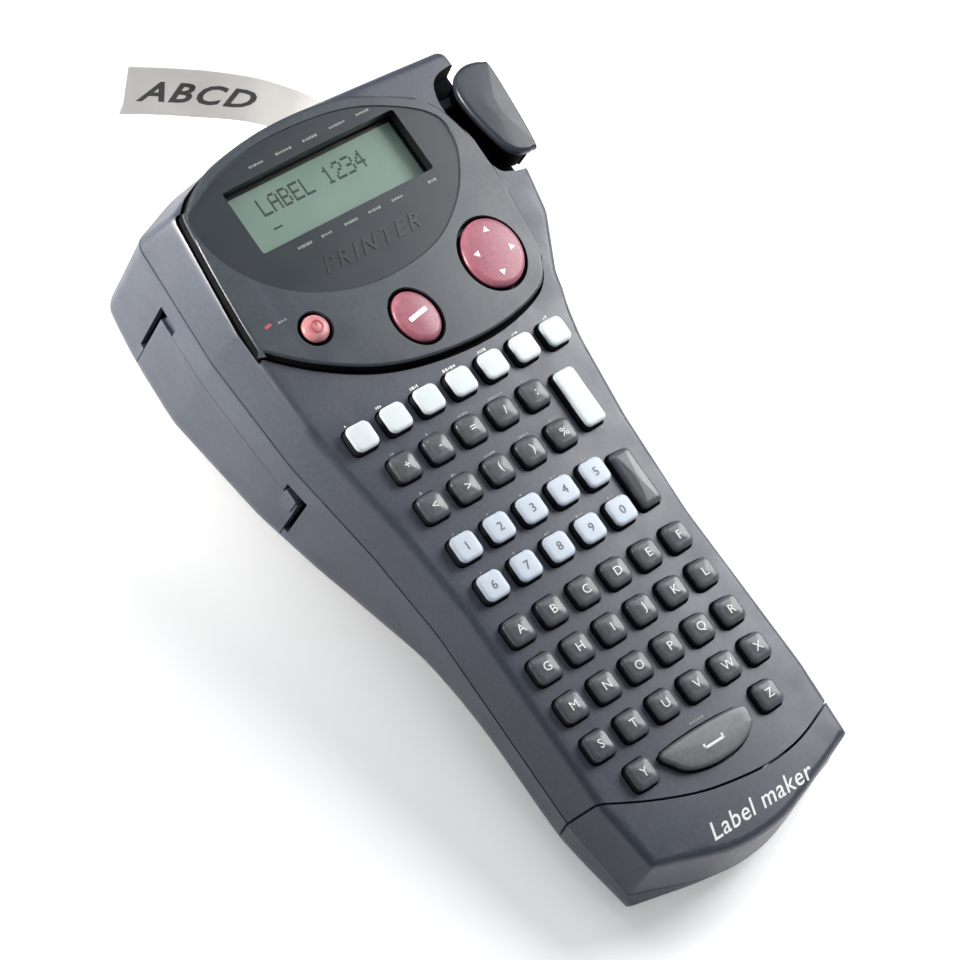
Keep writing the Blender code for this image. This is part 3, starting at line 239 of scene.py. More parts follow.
def gloss(tree, shader, source, low, high, stops=(0.3, 0.7)):
    """Roughness that drifts between two values."""
    spread = ramp(tree, source, ((stops[0], (low,) * 3), (stops[1], (high,) * 3)))
    tree.links.new(spread, shader.inputs["Roughness"])


def relief(tree, shader, source, strength):
    """Fine bumps on the surface."""
    bumps = node(tree, "ShaderNodeBump", Strength=strength, Distance=0.0001)
    tree.links.new(source, bumps.inputs["Height"])
    tree.links.new(bumps.outputs["Normal"], shader.inputs["Normal"])


def scaled(colour, factor):
    return tuple(min(1.0, c * factor) for c in colour)


def moulded(name, colour, roughness, grain=2600.0, bump=0.12, mottle=0.10, wear=0.35, specular=0.5, fleck=0.09):
    """Moulded plastic: fine spark texture, slow drift of colour and gloss, paler worn edges."""
    material, tree, shader, place = tree_of(name)
    drift = noise_at(tree, place, 34.0, 3.0)
    fine = noise_at(tree, place, grain, 2.0, 0.6)
    speck = noise_at(tree, place, grain * 0.33, 1.0)
    base = ramp(tree, drift, ((0.3, scaled(colour, 1.0 - mottle)), (0.7, scaled(colour, 1.0 + mottle))))
    flecks = ramp(tree, speck, ((0.35, (1.0 - fleck,) * 3), (0.65, (1.0 + fleck,) * 3)))
    base = mix(tree, 1.0, base, flecks, "MULTIPLY")
    if wear > 0.0:
        pointed = node(tree, "ShaderNodeNewGeometry").outputs["Pointiness"]
        edge = ramp(tree, pointed, ((0.52, (0.0, 0.0, 0.0)), (0.60, (1.0, 1.0, 1.0))))
        amount = mix(tree, 1.0, edge, ramp(tree, noise_at(tree, place, 120.0, 3.0),
                                          ((0.35, (0.15, 0.15, 0.15)), (0.7, (wear, wear, wear)))), "MULTIPLY")
        base = mix(tree, amount, base, scaled(colour, 1.9))
    tree.links.new(base, shader.inputs["Base Color"])
    gloss(tree, shader, noise_at(tree, place, 90.0, 3.0), roughness - 0.05, roughness + 0.06)
    shader.inputs["Specular IOR Level"].default_value = specular
    relief(tree, shader, fine, bump)
    return material


def metal(name, colour, roughness, stretch=(60.0, 60.0, 4000.0)):
    """Drawn or turned metal with fine streaks."""
    material, tree, shader, place = tree_of(name)
    mapping = node(tree, "ShaderNodeMapping")
    mapping.inputs["Scale"].default_value = stretch
    tree.links.new(place, mapping.inputs["Vector"])
    streak = noise_at(tree, mapping.outputs["Vector"], 1.0, 3.0, 0.6)
    stain = noise_at(tree, place, 130.0, 3.0)
    base = ramp(tree, streak, ((0.3, scaled(colour, 0.86)), (0.7, scaled(colour, 1.1))))
    stains = ramp(tree, stain, ((0.3, (0.88, 0.87, 0.86)), (0.7, (1.0, 1.0, 1.0))))
    base = mix(tree, 1.0, base, stains, "MULTIPLY")
    tree.links.new(base, shader.inputs["Base Color"])
    gloss(tree, shader, streak, roughness, roughness + 0.14)
    shader.inputs["Metallic"].default_value = 1.0
    relief(tree, shader, streak, 0.15)
    return material


def ink(name, colour, roughness=0.5):
    """Printed marks, slightly uneven as screen print is."""
    material, tree, shader, place = tree_of(name)
    base = ramp(tree, noise_at(tree, place, 1500.0, 2.0), ((0.3, scaled(colour, 0.82)), (0.6, colour)))
    tree.links.new(base, shader.inputs["Base Color"])
    gloss(tree, shader, noise_at(tree, place, 700.0, 2.0), roughness, roughness + 0.1)
    return material


def clear_window(name):
    material, tree, shader, place = tree_of(name)
    tint = ramp(tree, noise_at(tree, place, 60.0, 2.0), ((0.3, (0.93, 0.96, 0.94)), (0.7, (0.98, 1.0, 0.98))))
    tree.links.new(tint, shader.inputs["Base Color"])
    gloss(tree, shader, noise_at(tree, place, 180.0, 4.0), 0.02, 0.10, (0.4, 0.75))
    shader.inputs["Transmission Weight"].default_value = 1.0
    shader.inputs["IOR"].default_value = 1.12
    return material


def liquid_crystal(name):
    """Pale green reflective display with the faint grid of its cells."""
    material, tree, shader, place = tree_of(name)
    cells = node(tree, "ShaderNodeTexBrick", offset=0.0, Scale=1000.0)
    for socket, value in (("Brick Width", 0.62), ("Row Height", 0.62), ("Mortar Size", 0.05)):
        cells.inputs[socket].default_value = value
    cells.inputs["Color1"].default_value = (0.222, 0.302, 0.262, 1.0)
    cells.inputs["Color2"].default_value = (0.212, 0.292, 0.252, 1.0)
    cells.inputs["Mortar"].default_value = (0.240, 0.320, 0.280, 1.0)
    tree.links.new(place, cells.inputs["Vector"])
    drift = ramp(tree, noise_at(tree, place, 40.0, 2.0), ((0.3, (0.94, 0.95, 0.94)), (0.7, (1.04, 1.03, 1.04))))
    tree.links.new(mix(tree, 1.0, cells.outputs["Color"], drift, "MULTIPLY"), shader.inputs["Base Color"])
    gloss(tree, shader, noise_at(tree, place, 200.0, 2.0), 0.28, 0.36)
    return material


def circuit(name):
    material, tree, shader, place = tree_of(name)
    tracks = node(tree, "ShaderNodeTexVoronoi", feature="DISTANCE_TO_EDGE", distance="CHEBYCHEV")
    tracks.inputs["Scale"].default_value = 260.0
    tree.links.new(place, tracks.inputs["Vector"])
    base = ramp(tree, tracks.outputs["Distance"], ((0.04, (0.05, 0.22, 0.10)), (0.09, (0.015, 0.10, 0.04))))
    tree.links.new(base, shader.inputs["Base Color"])
    gloss(tree, shader, noise_at(tree, place, 300.0), 0.3, 0.45)
    return material


def label_film(name):
    """Laminated label film: clean white with the faintest unevenness."""
    material, tree, shader, place = tree_of(name)
    base = ramp(tree, noise_at(tree, place, 60.0, 3.0), ((0.3, (0.50, 0.49, 0.48)), (0.7, (0.54, 0.53, 0.52))))
    tree.links.new(base, shader.inputs["Base Color"])
    gloss(tree, shader, noise_at(tree, place, 500.0, 2.0), 0.30, 0.40)
    relief(tree, shader, noise_at(tree, place, 1400.0, 2.0), 0.05)
    return material


M = {
    "case": moulded("case_plastic", (0.041, 0.048, 0.068), 0.38, bump=0.18),
    "fascia": moulded("fascia_plastic", (0.033, 0.042, 0.053), 0.34, bump=0.10, wear=0.25),
    "lens": moulded("display_surround", (0.020, 0.026, 0.033), 0.34, bump=0.03, mottle=0.05, wear=0.0,
                    specular=0.35, fleck=0.02),
    "chin": moulded("end_cap_plastic", (0.040, 0.047, 0.066), 0.38, bump=0.18),
    "lever": moulded("lever_plastic", (0.020, 0.026, 0.036), 0.34, bump=0.12),
    "key_grey": moulded("key_grey", (0.075, 0.080, 0.090), 0.335, bump=0.08, wear=0.2),
    "key_white": moulded("key_white", (0.62, 0.67, 0.685), 0.335, bump=0.05, mottle=0.02, wear=0.0, fleck=0.01),
    "key_lilac": moulded("key_lilac", (0.50, 0.555, 0.635), 0.335, bump=0.05, mottle=0.03, wear=0.0, fleck=0.01),
    # Near-black key sides: painted shade along the sides of the keys.
    "key_skirt_painted_shade": moulded("key_skirt_painted_shade", (0.010, 0.011, 0.014), 0.42, bump=0.08, wear=0.0),
    "maroon": moulded("button_rubber", (0.33, 0.105, 0.140), 0.36, bump=0.10, mottle=0.08, wear=0.2),
    "power": moulded("power_rubber", (0.50, 0.20, 0.21), 0.36, bump=0.10, mottle=0.06, wear=0.0),
    "black": moulded("black_plastic", (0.010, 0.010, 0.012), 0.38, bump=0.08, wear=0.3),
    "pit": moulded("shadow_gap", (0.004, 0.004, 0.005), 0.85, bump=0.05, wear=0.0, specular=0.08),
    "bar_grey": moulded("space_bar_grey", (0.105, 0.115, 0.120), 0.34, bump=0.08, wear=0.2),
    "mask": moulded("display_mask", (0.006, 0.006, 0.008), 0.335, bump=0.02, wear=0.0),
    "white_ink": ink("white_ink", (0.80, 0.82, 0.80)),
    "pale_ink": ink("pale_ink", (0.26, 0.28, 0.26)),
    "red_ink": ink("red_ink", (0.45, 0.06, 0.07)),
    "black_ink": ink("black_ink", (0.012, 0.012, 0.014), 0.4),
    "grey_ink": ink("grey_ink", (0.10, 0.11, 0.12), 0.4),
    "segment": ink("lcd_segment", (0.018, 0.034, 0.036), 0.4),
    "window": clear_window("display_window"),
    "lcd": liquid_crystal("liquid_crystal"),
    "board": circuit("circuit_board"),
    "film": label_film("label_film"),
    "steel": metal("bright_steel", (0.62, 0.63, 0.65), 0.22),
    "zinc": metal("zinc_plate", (0.55, 0.56, 0.58), 0.34, (3000.0, 60.0, 60.0)),
    "brass": metal("brass_shaft", (0.70, 0.55, 0.28), 0.25),
    "rubber": moulded("roller_rubber", (0.020, 0.020, 0.021), 0.7, grain=1800.0, bump=0.3, wear=0.0),
    "silicone": moulded("keypad_silicone", (0.13, 0.14, 0.15), 0.55, bump=0.15, wear=0.0),
    "acetal": moulded("gear_acetal", (0.72, 0.70, 0.63), 0.38, bump=0.08, mottle=0.03, wear=0.0),
    "jacket": metal("battery_jacket", (0.42, 0.30, 0.12), 0.30, (60.0, 3000.0, 60.0)),
}


# ---- drawing tools ---------------------------------------------------------------------------------
def add_stack(bm, levels, material=0, caps=True):
    """Closed body through outlines of equal length: [(outline, z), ...]; z may be a function of (x, y)."""
    rings = []
    for outline, z in levels:
        rings.append([bm.verts.new((x, y, z(x, y) if callable(z) else z)) for x, y in outline])
    faces = []
    for low, high in zip(rings, rings[1:]):
        count = len(low)
        for i in range(count):
            j = (i + 1) % count
            faces.append(bm.faces.new((low[i], low[j], high[j], high[i])))
    if caps:
        faces.append(bm.faces.new(list(reversed(rings[0]))))
        faces.append(bm.faces.new(rings[-1]))
    for face in faces:
        face.material_index = material
    return rings


def add_box(bm, x0, x1, y0, y1, z0, z1, material=0):
    middle = Matrix.Translation((0.5 * (x0 + x1), 0.5 * (y0 + y1), 0.5 * (z0 + z1)))
    size = Matrix.Diagonal((x1 - x0, y1 - y0, z1 - z0, 1.0))
    made = bmesh.ops.create_cube(bm, size=1.0, matrix=middle @ size)
    for face in {f for v in made["verts"] for f in v.link_faces}:
        face.material_index = material


def circle(cx, cy, radius, count=32):
    turn = 2.0 * math.pi / count
    return [(cx + radius * math.cos(turn * i), cy + radius * math.sin(turn * i)) for i in range(count)]


def ellipse(cx, cy, a, b, degrees=0.0, count=64):
    c, s = math.cos(math.radians(degrees)), math.sin(math.radians(degrees))
    points = []
    for i in range(count):
        t = 2.0 * math.pi * i / count
        u, v = a * math.cos(t), b * math.sin(t)
        points.append((cx + c * u - s * v, cy + s * u + c * v))
    return points


def rounded(cx, cy, hx, hy, radius, steps=6):
    points = []
    for sx, sy, start in ((1, -1, -90), (1, 1, 0), (-1, 1, 90), (-1, -1, 180)):
        for k in range(steps + 1):
            a = math.radians(start + 90.0 * k / steps)
            points.append((cx + sx * (hx - radius) + radius * math.cos(a),
                           cy + sy * (hy - radius) + radius * math.sin(a)))
    return points


def spline_point(p0, p1, p2, p3, t):
    return 0.5 * (2 * p1 + (p2 - p0) * t + (2 * p0 - 5 * p1 + 4 * p2 - p3) * t * t
                  + (3 * p1 - p0 - 3 * p2 + p3) * t * t * t)


def smoothed(points, steps=6):
    """Closed curve through the points."""
    count = len(points)
    curve = []
    for i in range(count):
        near = [Vector(points[(i + k) % count]) for k in (-1, 0, 1, 2)]
        curve += [tuple(spline_point(*near, k / steps)) for k in range(steps)]
    return curve


def open_spline(points, steps):
    """Open curve through the points, as vectors."""
    path = [Vector(p) for p in points]
    last = len(path) - 1
    fine = []
    for i in range(last):
        near = path[max(0, i - 1)], path[i], path[i + 1], path[min(last, i + 2)]
        fine += [spline_point(*near, k / steps) for k in range(steps)]
    return fine + [path[-1]]


def inset(outline, distance):
    count = len(outline)
    moved = []
    for i in range(count):
        here = Vector(outline[i])
        e1 = (here - Vector(outline[i - 1])).normalized()
        e2 = (Vector(outline[(i + 1) % count]) - here).normalized()
        normal = Vector((-(e1.y + e2.y), e1.x + e2.x)).normalized()
        stretch = max(0.7, Vector((-e1.y, e1.x)).dot(normal))
        moved.append(tuple(here + normal * (distance / stretch)))
    return moved


def filleted(corners, steps_at):
    points = []
    count = len(corners)
    for i, (x, y, radius) in enumerate(corners):
        here = Vector((x, y))
        before = Vector(corners[i - 1][:2]) - here
        after = Vector(corners[(i + 1) % count][:2]) - here
        room = 0.49 * min(before.length, after.length)
        before.normalize()
        after.normalize()
        half = 0.5 * before.angle(after)
        reach = min(radius / math.tan(half), room)
        radius = reach * math.tan(half)
        middle = here + (before + after).normalized() * (radius / math.sin(half))
        start, end = here + before * reach - middle, here + after * reach - middle
        sweep = start.angle_signed(end)
        steps = steps_at[i]
        for k in range(steps + 1):
            turned = start.copy()
            turned.rotate(Matrix.Rotation(-sweep * k / steps, 2))
            points.append(tuple(middle + turned))
    return points


def steps_between(start, stop, step):
    return [start + step * k for k in range(math.ceil((stop - start) / step))]


def slice_across(bm, places, axis, snap):
    """Cuts every face where it crosses the planes at these places along an axis."""
    for distance in places:
        geometry = bm.verts[:] + bm.edges[:] + bm.faces[:]
        point = tuple(distance * share for share in axis)
        bmesh.ops.bisect_plane(bm, geom=geometry, dist=snap, plane_co=point, plane_no=axis)


def split_bent_faces(bm):
    bmesh.ops.connect_verts_nonplanar(bm, angle_limit=math.radians(0.02), faces=bm.faces)


def paint(bm, test, material=1):
    """Gives a material to each face whose middle passes the test."""
    for face in bm.faces:
        if test(face.calc_center_median()):
            face.material_index = material


def to_mesh(name, bm):
    bmesh.ops.recalc_face_normals(bm, faces=bm.faces)
    bm.transform(FACE)
    mesh = bpy.data.meshes.new(name)
    bm.to_mesh(mesh)
    bm.free()
    return mesh


def piece(name, mesh, materials, sharp=28.0):
    """An object in the row frame, smooth except over sharp edges."""
    obj = bpy.data.objects.new(name, mesh)
    bpy.context.scene.collection.objects.link(obj)
    for material in materials:
        mesh.materials.append(M[material])
    smooth(mesh, sharp)
    return obj


def smooth(mesh, sharp=28.0):
    mesh.polygons.foreach_set("use_smooth", [True] * len(mesh.polygons))
    mesh.set_sharp_from_angle(angle=math.radians(sharp))


CUTTER_OBJECTS = []


def cutter(name, bm, materials=()):
    obj = bpy.data.objects.new(name, to_mesh(name, bm))
    bpy.context.scene.collection.objects.link(obj)
    for material in materials:
        obj.data.materials.append(M[material])
    obj.hide_render = True
    CUTTER_OBJECTS.append(obj)
    return obj


def block(name, outline, z0, z1):
    bm = bmesh.new()
    add_stack(bm, [(outline, z0), (outline, z1)])
    return cutter(name, bm)


def box_cutter(name, *limits):
    bm = bmesh.new()
    add_box(bm, *limits)
    return cutter(name, bm)


def boolean(obj, other, operation):
    modifier = obj.modifiers.new(other.name, "BOOLEAN")
    modifier.operation = operation
    modifier.object = other
    modifier.solver = "EXACT"
    modifier.material_mode = "TRANSFER"


def applied(obj, sharp=28.0):
    """Applies the modifiers and gives flat faces their full weight in the shading."""
    graph = bpy.context.evaluated_depsgraph_get()
    graph.update()
    mesh = bpy.data.meshes.new_from_object(obj.evaluated_get(graph))
    obj.modifiers.clear()
    obj.data = mesh
    smooth(mesh, sharp)
    weighted = obj.modifiers.new("weighted_normals", "WEIGHTED_NORMAL")
    weighted.keep_sharp = True
    weighted.weight = 80
    return obj


def place(obj, body, slot, *nodes):
    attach(obj, body)
    if nodes:
        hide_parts(*nodes)
    return obj


# ---- the shell -------------------------------------------------------------------------------------
def crown(x, y):
    head = min(1.0, max(0.0, (y - CROWN_Y0) / (CROWN_Y1 - CROWN_Y0)))
    head = head * head * (3.0 - 2.0 * head)
    return (CROWN_GRIP + (CROWN_HEAD - CROWN_GRIP) * head) * (x / 36.0) ** 2


def floor_z(y):
    rest = REST_Z + (REST_Y - y) * math.tan(TILT)
    if HOLLOW_Y0 < y < HOLLOW_Y1:
        rest += HOLLOW * math.sin(math.pi * (y - HOLLOW_Y0) / (HOLLOW_Y1 - HOLLOW_Y0)) ** 2
    if y > REST_Y:
        rest = REST_Z + HEAD_RISE * (max(0.0, y - 120.0) / 18.0) ** 2
    return rest


def warped(x, y, z):
    if z > SEAM_Z:
        return z - crown(x, y) * (z - SEAM_Z) / -SEAM_Z
    shift = floor_z(y) - FLOOR_REF
    upper = FLOOR_REF + FLOOR_ZONE
    if z < upper:
        return z + shift
    return z + shift * (SEAM_Z - z) / (SEAM_Z - upper)


def plan_steps():
    steps = []
    for i, (x, y, _) in enumerate(PLAN):
        here = Vector((x, y))
        before, after = here - Vector(PLAN[i - 1][:2]), Vector(PLAN[(i + 1) % len(PLAN)][:2]) - here
        steps.append(max(4, min(16, round(math.degrees(before.angle(after)) / 4.0))))
    return steps


def plan_inset(distance, z):
    lean = min(1.0, max(0.0, 1.0 - z / SEAM_Z))
    flare = min(1.0, max(0.0, (SEAM_Z - z) / 36.0))
    count = len(PLAN)
    corners = []
    for i, (x, y, radius) in enumerate(PLAN):
        here = Vector((x, y))
        e1 = (here - Vector(PLAN[i - 1][:2])).normalized()
        e2 = (Vector(PLAN[(i + 1) % count][:2]) - here).normalized()
        normal = Vector((-(e1.y + e2.y), e1.x + e2.x)).normalized()
        moved = here + normal * (distance / Vector((-e1.y, e1.x)).dot(normal))
        turn = 1.0 if e1.cross(e2) > 0.0 else -1.0
        extra = Vector(LEAN_IN.get(i, (0.0, 0.0))) * lean + Vector(FLARE.get(i, (0.0, 0.0))) * flare
        corners.append((moved.x + extra.x, moved.y + extra.y, max(0.6, radius - turn * distance)))
    return filleted(corners, plan_steps())


def shell_mesh(name, levels, step_x=4.0, step_y=6.0):
    """The outer skin or its hollow: stacked plan outlines, warped to the crowned face and arched back."""
    bm = bmesh.new()
    add_stack(bm, [(plan_inset(d, z), z) for d, z in levels])
    slice_across(bm, steps_between(-76.0, 150.0, step_y), (0, 1, 0), 0.05)
    slice_across(bm, steps_between(-44.0, 60.0, step_x), (1, 0, 0), 0.05)
    for vert in bm.verts:
        vert.co.z = warped(*vert.co)
    split_bent_faces(bm)
    return to_mesh(name, bm)


SKIN_LEVELS = (
    (6.0, FLOOR_REF), (4.4, FLOOR_REF + 0.45), (3.2, FLOOR_REF + 1.3), (2.2, FLOOR_REF + 2.4),
    (1.5, FLOOR_REF + 3.6), (1.05, FLOOR_REF + 5.2), (0.8, FLOOR_REF + FLOOR_ZONE), (0.4, -34.0),
    (0.02, SEAM_Z - 0.75), (0.08, SEAM_Z - 0.40), (0.42, SEAM_Z - 0.2), (0.42, SEAM_Z + 0.2),
    (0.12, SEAM_Z + 0.40), (0.1, SEAM_Z + 0.75), (1.05, -9.0), (1.95, -2.6), (2.15, -1.7), (2.45, -1.05),
    (2.95, -0.50), (3.55, -0.15), (4.3, 0.0),
)
HOLLOW_LEVELS = (
    (7.4, FLOOR_REF + WALL), (4.6, FLOOR_REF + 3.8), (3.0, FLOOR_REF + FLOOR_ZONE), (WALL, SEAM_Z),
    (4.3, CEILING_Z),
)
PLAIN_LEVELS = [level for level in SKIN_LEVELS if abs(level[1] - SEAM_Z) > 0.3]
SKIN = shell_mesh("skin", SKIN_LEVELS)
PLAIN_SKIN = shell_mesh("plain_skin", PLAIN_LEVELS)
HOLLOW_MESH = shell_mesh("hollow", HOLLOW_LEVELS, 15.0, 12.0)
LEVER_OUTLINE = smoothed(LEVER, 7)
LEVER_ROOM_OUTLINE = smoothed(LEVER_ROOM, 6)
FASCIA_OUTLINE = smoothed(FASCIA, 8)
LENS_OUTLINE = smoothed(LENS, 8)


def hollow_cutter():
    hollow = bpy.data.objects.new("cut_hollow", HOLLOW_MESH)
    bpy.context.scene.collection.objects.link(hollow)
    hollow.hide_render = True
    CUTTER_OBJECTS.append(hollow)
    bm = bmesh.new()
    around = inset(LEVER_ROOM_OUTLINE, -1.8)
    add_stack(bm, [(around, POCKET_FLOOR - 1.8), (around, 20.0)])
    boolean(hollow, cutter("cut_pocket_wall", bm), "DIFFERENCE")
    return hollow


def chin_prism(name, shift):
    curve = open_spline(CHIN_SEAM, 6)
    outline = [(-60.0, -100.0), (60.0, -100.0)] + [(p.x, p.y + shift) for p in reversed(curve)]
    return block(name, outline, -80.0, 20.0)


CUT_HOLLOW = hollow_cutter()
CUT_CHIN = chin_prism("cut_chin", 0.35)
KEEP_CHIN = chin_prism("keep_chin", -0.35)


def single_keys():
    keys = [(f"key_function_{i + 1}", (i - 3) * COLUMN, ROW_Y[0], "key_white", "") for i in range(7)]
    for row, first in ((3, 0), (4, 5)):
        for i in range(5):
            keys.append((f"key_number_{first + i}", (i - 2.42) * COLUMN, ROW_Y[row], "key_lilac",
                         str((first + i + 1) % 10)))
    keys.append(("key_corner_left", -CORNER_KEY_X, ROW_Y[9], "key_grey", "Y"))
    keys.append(("key_corner_right", CORNER_KEY_X, ROW_Y[9], "key_grey", "Z"))
    return keys


def letter_rows():
    rows = []
    letters = ("+-=/:", "<>()%", "ABCDEF", "GHIJKL", "MNOPQR", "STUVWX")
    for number, row in enumerate((1, 2, 5, 6, 7, 8)):
        count = 5 if row < 5 else 6
        xs = [(i - 2.5) * COLUMN for i in range(count)]
        rows.append((f"letter_row_{number + 1}", ROW_Y[row], xs, letters[number]))
    return rows


TALL_KEYS = (("key_tall_white", 45.1, "key_white"), ("key_tall_grey", 18.9, "key_grey"))


def hole_with_lip(bm, outline, lip=0.35, steps=4):
    """A hole through the face whose rim is rounded over."""
    middle = Vector((sum(p[0] for p in outline) / len(outline), sum(p[1] for p in outline) / len(outline)))
    levels = [(outline, -12.0)]
    for k in range(steps + 1):
        a = math.radians(90.0 * k / steps)
        grow = lip * (1.0 - math.cos(a))
        drop = -lip * (1.0 - math.sin(a))
        levels.append((inset(outline, -grow), lambda x, y, d=drop: d - crown(middle.x, middle.y)))
    levels.append((inset(outline, -lip - 0.02), 12.0))
    first = len(bm.faces)
    add_stack(bm, levels)
    bm.faces.ensure_lookup_table()
    for face in bm.faces[first:first + len(outline)]:
        face.material_index = 1


def key_holes():
    half = 0.5 * CAP_HOLE
    bm = bmesh.new()
    spots = [(x, y) for _, x, y, _, _ in single_keys()]
    spots += [(x, y) for _, y, row, _ in letter_rows() for x in row]
    for x, y in spots:
        hole_with_lip(bm, rounded(x, y, half, half, 2.0, 5))
    for _, y, _ in TALL_KEYS:
        hole_with_lip(bm, rounded(TALL_X, y, half - 0.3, TALL_HALF + 0.35, 1.6, 5))
    hole_with_lip(bm, inset(smoothed(SPACE, 4), -0.35))
    return cutter("cut_keys", bm, ["case", "pit"])


def button_outlines(grow, count=64):
    return [ellipse(x, y, a + grow, b + grow, turn, count) for x, y, a, b, turn in (NAV, PRINT, POWER)]


def make_upper_case():
    obj = piece("upper_case_shell", SKIN.copy(), ["case"])
    boolean(obj, CUT_HOLLOW, "DIFFERENCE")
    boolean(obj, box_cutter("keep_upper", -90, 90, -110, 170, SEAM_Z + 0.15, 30.0), "INTERSECT")
    boolean(obj, CUT_CHIN, "DIFFERENCE")
    bm = bmesh.new()
    room = LEVER_ROOM_OUTLINE
    add_stack(bm, [(inset(room, 0.6), POCKET_FLOOR), (inset(room, 0.15), POCKET_FLOOR + 0.2),
                   (room, POCKET_FLOOR + 0.7), (room, -1.3), (inset(room, -0.15), -0.8),
                   (inset(room, -0.6), -0.35), (inset(room, -1.2), 20.0)])
    paint(bm, lambda middle: middle.z < -1.3)
    boolean(obj, cutter("cut_lever_pocket", bm, ["case", "pit"]), "DIFFERENCE")
    bm = bmesh.new()
    seat = inset(FASCIA_OUTLINE, -0.75)
    add_stack(bm, [(seat, -2.0), (seat, -0.9), (inset(seat, -0.1), -0.6), (inset(seat, -0.35), -0.3),
                   (inset(seat, -0.8), 20.0)])
    paint(bm, lambda middle: middle.z < -0.8)
    boolean(obj, cutter("cut_fascia_seat", bm, ["case", "pit"]), "DIFFERENCE")
    boolean(obj, key_holes(), "DIFFERENCE")
    bm = bmesh.new()
    for outline in button_outlines(1.3, 32):
        add_stack(bm, [(outline, -12.0), (outline, 12.0)])
    add_box(bm, SCREEN_X0 - 3.0, SCREEN_X1 + 3.0, SCREEN_Y0 - 3.0, SCREEN_Y1 + 3.0, -12.0, 12.0)
    add_box(bm, 42.0, 51.0, 130.4, 138.4, -8.2, -4.8)
    boolean(obj, cutter("cut_head_openings", bm), "DIFFERENCE")
    bm = bmesh.new()
    add_stack(bm, [(circle(*LEVER_PIVOT, 1.35, 24), POCKET_FLOOR - 1.0), (circle(*LEVER_PIVOT, 1.35, 24), -0.3),
                   (circle(*LEVER_PIVOT, 1.05, 24), 0.0)])
    boolean(obj, cutter("add_lever_pin", bm), "UNION")
    place(applied(obj), "case", "slate", "upper_case")


def make_lower_case():
    obj = piece("lower_case_shell", SKIN.copy(), ["case"])
    boolean(obj, CUT_HOLLOW, "DIFFERENCE")
    boolean(obj, box_cutter("keep_lower", -90, 90, -110, 170, -90.0, SEAM_Z - 0.15), "INTERSECT")
    boolean(obj, CUT_CHIN, "DIFFERENCE")
    bm = bmesh.new()
    add_box(bm, -90.0, 90.0, DOOR_Y0 - 0.3, DOOR_Y1 + 0.3, -90.0, DOOR_Z + 0.3)
    add_box(bm, -BDOOR_X - 0.3, BDOOR_X + 0.3, BDOOR_Y0 - 0.3, BDOOR_Y1 + 0.3, -90.0, -22.0)
    boolean(obj, cutter("cut_bays", bm), "DIFFERENCE")
    bm = bmesh.new()
    add_box(bm, -60.0, -40.0, DOOR_Y1 - 5.6, DOOR_Y1 + 1.9, -47.0, -24.0)
    add_box(bm, -60.0, -38.0, DOOR_Y0 - 1.9, DOOR_Y0 + 5.6, -43.0, -24.0)
    boolean(obj, cutter("cut_latch_notches", bm), "DIFFERENCE")
    slot = box_cutter("cut_tape_slot", TAPE_X - 1.6, TAPE_X + 1.6, 142.0, 170.0, -50.6, -29.4)
    boolean(obj, slot, "DIFFERENCE")
    place(applied(obj), "case", "slate", "lower_case")


def make_end_cap():
    obj = piece("end_cap_shell", PLAIN_SKIN.copy(), ["chin"])
    boolean(obj, CUT_HOLLOW, "DIFFERENCE")
    boolean(obj, KEEP_CHIN, "INTERSECT")
    place(applied(obj), "case", "slate", "end_cap")


def make_doors():
    obj = piece("cassette_door_shell", SKIN.copy(), ["case"])
    boolean(obj, CUT_HOLLOW, "DIFFERENCE")
    boolean(obj, box_cutter("keep_door", -90, 90, DOOR_Y0, DOOR_Y1, -90.0, DOOR_Z + 0.1), "INTERSECT")
    bm = bmesh.new()
    for y0, y1 in ((DOOR_Y1 - 5.0, DOOR_Y1 - 0.6), (DOOR_Y0 + 0.6, DOOR_Y0 + 5.0)):
        outline = rounded(0.5 * (y0 + y1), 0.0, 0.5 * (y1 - y0), 3.45, 0.5, 3)
        rings = [[bm.verts.new((x, u, -29.55 + v)) for u, v in outline] for x in (LATCH_X - 1.9, LATCH_X + 2.0)]
        bm.faces.new(rings[0])
        bm.faces.new(list(reversed(rings[1])))
        for i in range(len(outline)):
            j = (i + 1) % len(outline)
            bm.faces.new((rings[0][i], rings[0][j], rings[1][j], rings[1][i]))
    boolean(obj, cutter("add_latch_tabs", bm), "UNION")
    place(applied(obj), "cassette_cover", "slate", "cassette_door")
    obj = piece("battery_door_shell", SKIN.copy(), ["case"])
    boolean(obj, CUT_HOLLOW, "DIFFERENCE")
    keep = box_cutter("keep_battery_door", -BDOOR_X, BDOOR_X, BDOOR_Y0, BDOOR_Y1, -90.0, -22.3)
    boolean(obj, keep, "INTERSECT")
    bm = bmesh.new()
    for i in range(5):
        y = BDOOR_Y0 + 6.0 + 2.2 * i
        z = floor_z(y)
        add_box(bm, -11.0, 11.0, y, y + 1.0, z - 3.0, z + 0.45)
    boolean(obj, cutter("cut_thumb_grip", bm), "DIFFERENCE")
    place(applied(obj), "battery_cover", "slate", "battery_door")


# ---- fascia and display ----------------------------------------------------------------------------
def fascia_top(x, y):
    return FASCIA_TOP - FASCIA_DOME * ((x - 3.5) ** 2) / 44.0 ** 2


